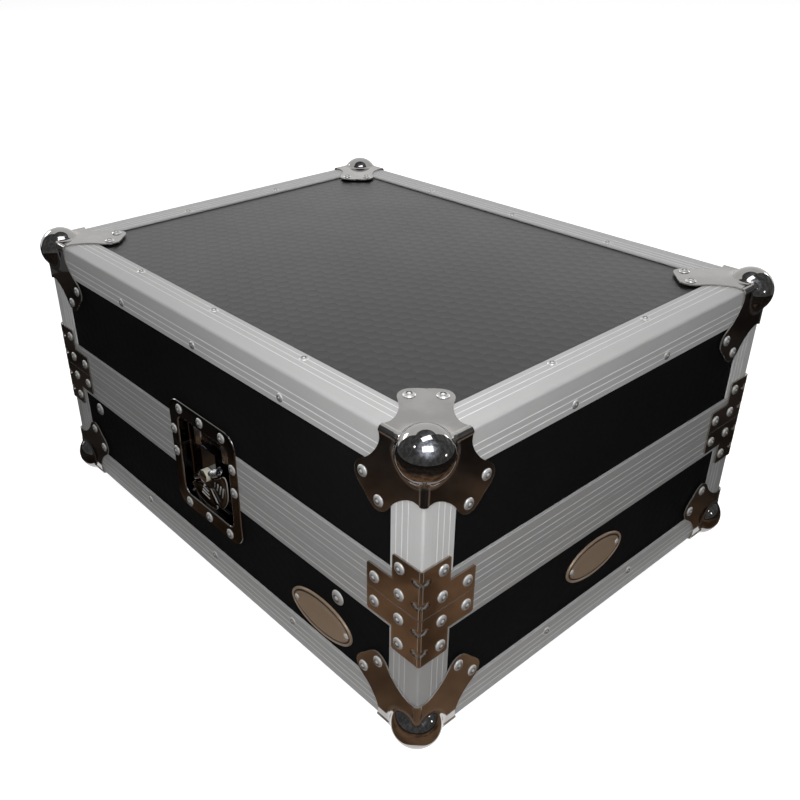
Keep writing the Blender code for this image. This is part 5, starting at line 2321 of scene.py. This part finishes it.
@dataclass
class Studio:
    """A pale floor, a white surround, soft lamps, cloths that only the metal shows as painted reflections,
    and the camera.
    """

    floor_radius: float = 30.0
    lens: float = 40.267
    shift: Point2 = (0.058, 0.0166)
    eye: Point3 = (0.583165, -0.535665, 0.558636)
    right: Point3 = (0.65488142, 0.75564955, -0.01113941)
    up: Point3 = (-0.37150411, 0.33472894, 0.86599147)
    forward: Point3 = (-0.65811475, 0.56298338, -0.49993468)
    fill: float = 0.05
    near_corner: Point3 = (0.2665, -0.208, 0.259)
    near_ball: Point3 = (0.2665, -0.208, 0.27)
    front_lamp: Point3 = (0.571, -0.417, 0.695)
    # The tent is a dark sheet that only reflections show, a painted dark surround, and its near colour glows
    # as a painted glow round the front lamp.
    tent: Cloth = Cloth("black_tent", (1.3, 1.42, 1.7), (0.11, 0.11, 0.112), 1.0, 3)
    tent_spread: float = 128
    tent_glow_spread: float = 48
    tent_wall: float = 1.15
    tent_step: float = 0.15
    roof_middle: Point2 = (0.1, 0)
    roof_radius: float = 1.25
    roof_height: float = 2.16
    tent_shoulder: tuple[Point2, ...] = (
        (1.12, 1.08), (1.08, 1.26), (1.02, 1.44), (0.92, 1.62), (0.82, 1.8), (0.7, 1.95), (0.4, 2.15),
    )
    # The floor cloth is a sheet that only reflections show: a painted reflection of a brown floor that
    # darkens farther out.
    floor_cloth: Cloth = Cloth("brown_floor_cloth", (0.33, 0.2, 0.12), (0.055, 0.045, 0.04))
    brown_from_case: Point2 = (0.13, 0.14)
    brown_from_corner: Point2 = (0.38, 0.12)

    def build_surround(self) -> None:
        """The white world."""
        world = bpy.data.worlds.new("surround")
        bpy.context.scene.world = world
        world.use_nodes = True
        background = world.node_tree.nodes["Background"]
        background.inputs["Color"].default_value = WHITE
        strength = self.fill + (1 - self.fill) * seen(Tree(world.node_tree))
        world.node_tree.links.new(strength.socket, background.inputs["Strength"])

    def build_floor(self) -> None:
        """A pale floor that keeps the object's shadow."""
        rim = [(x, y, 0) for x, y in arc((0, 0), self.floor_radius, 0, 360, 64)[:-1]]
        floor = in_scene("floor", mesh_of("floor", rim, [range(len(rim))]))
        floor.data.materials.append(PaleFloor("pale_floor").material)

    def lamp(
        self, name: str, place: Point3, aim: Point3, size: Point2, power: float, mirrored: bool = True
    ) -> None:
        """A soft lamp.

        Args:
            name: its name.
            place: where it stands.
            aim: what it faces.
            size: its width and height.
            power: its power in watts.
            mirrored: whether polished metal shows it.
        """
        data = bpy.data.lights.new(name, "AREA")
        data.shape = "RECTANGLE"
        data.size, data.size_y = size
        data.energy = power
        made = in_scene(name, data)
        made.location = place
        made.rotation_mode = "QUATERNION"
        made.rotation_quaternion = (Vector(aim) - Vector(place)).to_track_quat("-Z", "Y")
        made.visible_glossy = mirrored

    def build_lamps(self) -> None:
        """Softboxes by the camera and overhead, small umbrellas, and broad lamps for the far sides."""
        corner, middle = self.near_corner, (0, 0, 0.15)
        self.lamp("key", (0.56, -0.6, 0.6), corner, (0.3, 0.3), 2.4, False)
        self.lamp("front", self.front_lamp, corner, (0.4, 0.21), 1.4)
        self.lamp("overhead", (0.31, -0.17, 1.95), (0.1, -0.1, 0), (1.0, 0.5), 6)
        self.lamp("sky", (-1.6, 1.5, 2.0), (0, 0, 0.2), (1.6, 1.6), 20, False)
        self.lamp("left_umbrella", (0.06, -0.98, 1.02), corner, (0.1, 0.1), 0.3)
        self.lamp("right_umbrella", (1.12, 0.36, 0.34), corner, (0.09, 0.09), 0.2)
        self.lamp("left", (-4.6, -0.6, 1.9), middle, (1.4, 1.0), 36)
        self.lamp("rear", (1.0, 4.6, 1.7), middle, (1.6, 1.0), 36)

    @staticmethod
    def hang(mesh: bpy.types.Mesh, away: Sequence[float], finish: Cloth) -> None:
        """Sets up a cloth that only reflections show, as a painted reflection.

        Args:
            mesh: the cloth.
            away: how far each point goes over to the cloth's second colour.
            finish: its finish.
        """
        write_values(mesh, "away", away)
        mesh.materials.append(finish.material)
        made = in_scene(finish.name, mesh)
        made.visible_camera = made.visible_diffuse = made.visible_shadow = False

    def build_tent(self) -> None:
        """Dark cloth round the camera's side and overhead as a painted dark surround, pale and glowing round
        the front lamp's direction as a painted glow.
        """
        profile = [*((self.tent_wall, self.tent_step * i) for i in range(7)), *self.tent_shoulder]
        middle, steps = math.atan2(-self.forward[1], -self.forward[0]), 48
        x, y, _ = self.near_corner
        points, faces = [], []
        for i in range(steps + 1):
            angle = middle + math.radians(self.tent_spread) * (2 * i / steps - 1)
            across, along = math.cos(angle), math.sin(angle)
            points += [(x + radius * across, y + radius * along, z) for radius, z in profile]
        count = len(profile)
        for low in (i * count + k for i in range(steps) for k in range(count - 1)):
            faces.append([low, low + count, low + count + 1, low + 1])
        circle = arc(self.roof_middle, self.roof_radius, 0, 360, steps)[:-1]
        roof = [(a, b, self.roof_height) for a, b in circle]
        faces.append(list(range(len(points), len(points) + len(roof))))
        points += roof
        ball = Vector(self.near_ball)
        to_lamp = Vector(self.front_lamp) - ball
        turns = [math.degrees((Vector(point) - ball).angle(to_lamp)) for point in points]
        away = [smooth_step(turn / self.tent_glow_spread) for turn in turns]
        self.hang(mesh_of("tent", points, faces), away, self.tent)

    def build_floor_cloth(self) -> None:
        """A brown cloth round the case, darker away from the case and from its front right corner; only
        reflections show it, as a painted reflection.
        """
        x, y = SIZES.half_length, SIZES.half_width
        loops = []
        for reach in (0.012, 0.1, 0.2, 0.35, 1.6):
            loop = []
            for quarter, centre in enumerate(((x, y), (-x, y), (-x, -y), (x, -y))):
                loop += [(a, b, 0.002) for a, b in arc(centre, reach, 90 * quarter, 90 * quarter + 90, 4)]
            loops.append(loop)
        finer = {"subdivision_type": "SIMPLE", "levels": 4}
        mesh = with_modifiers(mesh_of("cloth", *loft(loops, False)), ("SUBSURF", finer))
        away = []
        for a, b, _ in (vertex.co for vertex in mesh.vertices):
            from_case = math.hypot(max(abs(a) - x, 0), max(abs(b) - y, 0))
            measures = ((from_case, self.brown_from_case), (math.hypot(a - x, b + y), self.brown_from_corner))
            away.append(max(smooth_step((far - start) / width) for far, (start, width) in measures))
        self.hang(mesh, away, self.floor_cloth)

    def build_camera(self) -> None:
        """The camera at the photograph's place."""
        data = bpy.data.cameras.new("camera")
        data.lens = self.lens
        data.sensor_width = 36
        data.shift_x, data.shift_y = self.shift
        data.clip_start, data.clip_end = 0.01, 100
        made = in_scene("camera", data)
        axes = Matrix((self.right, self.up, -Vector(self.forward))).transposed()
        made.rotation_mode = "QUATERNION"
        made.rotation_quaternion = axes.to_quaternion()
        made.location = self.eye
        bpy.context.scene.camera = made

    def build(self) -> None:
        """Sets up the studio."""
        bpy.context.scene.view_settings.view_transform = "Standard"
        self.build_camera()
        self.build_surround()
        self.build_floor()
        self.build_lamps()
        self.build_tent()
        self.build_floor_cloth()


def main() -> None:
    """Builds every part of the case in order."""
    logging.basicConfig(level=logging.INFO, format="%(message)s")
    Studio().build()
    rivets = Rivets()
    cells = RaisedCells()
    Panels(cells).build()
    cells.clear()
    Edging(ExtrudedBars(), rivets).build()
    BallCorners(rivets).build()
    Braces(rivets).build()
    Badges(rivets).build()
    FoamLinings().build()
    for side in (Side.FRONT, Side.BACK):
        Latch(side, rivets).build()
    rivets.clear()


if __name__ == "__main__":
    main()
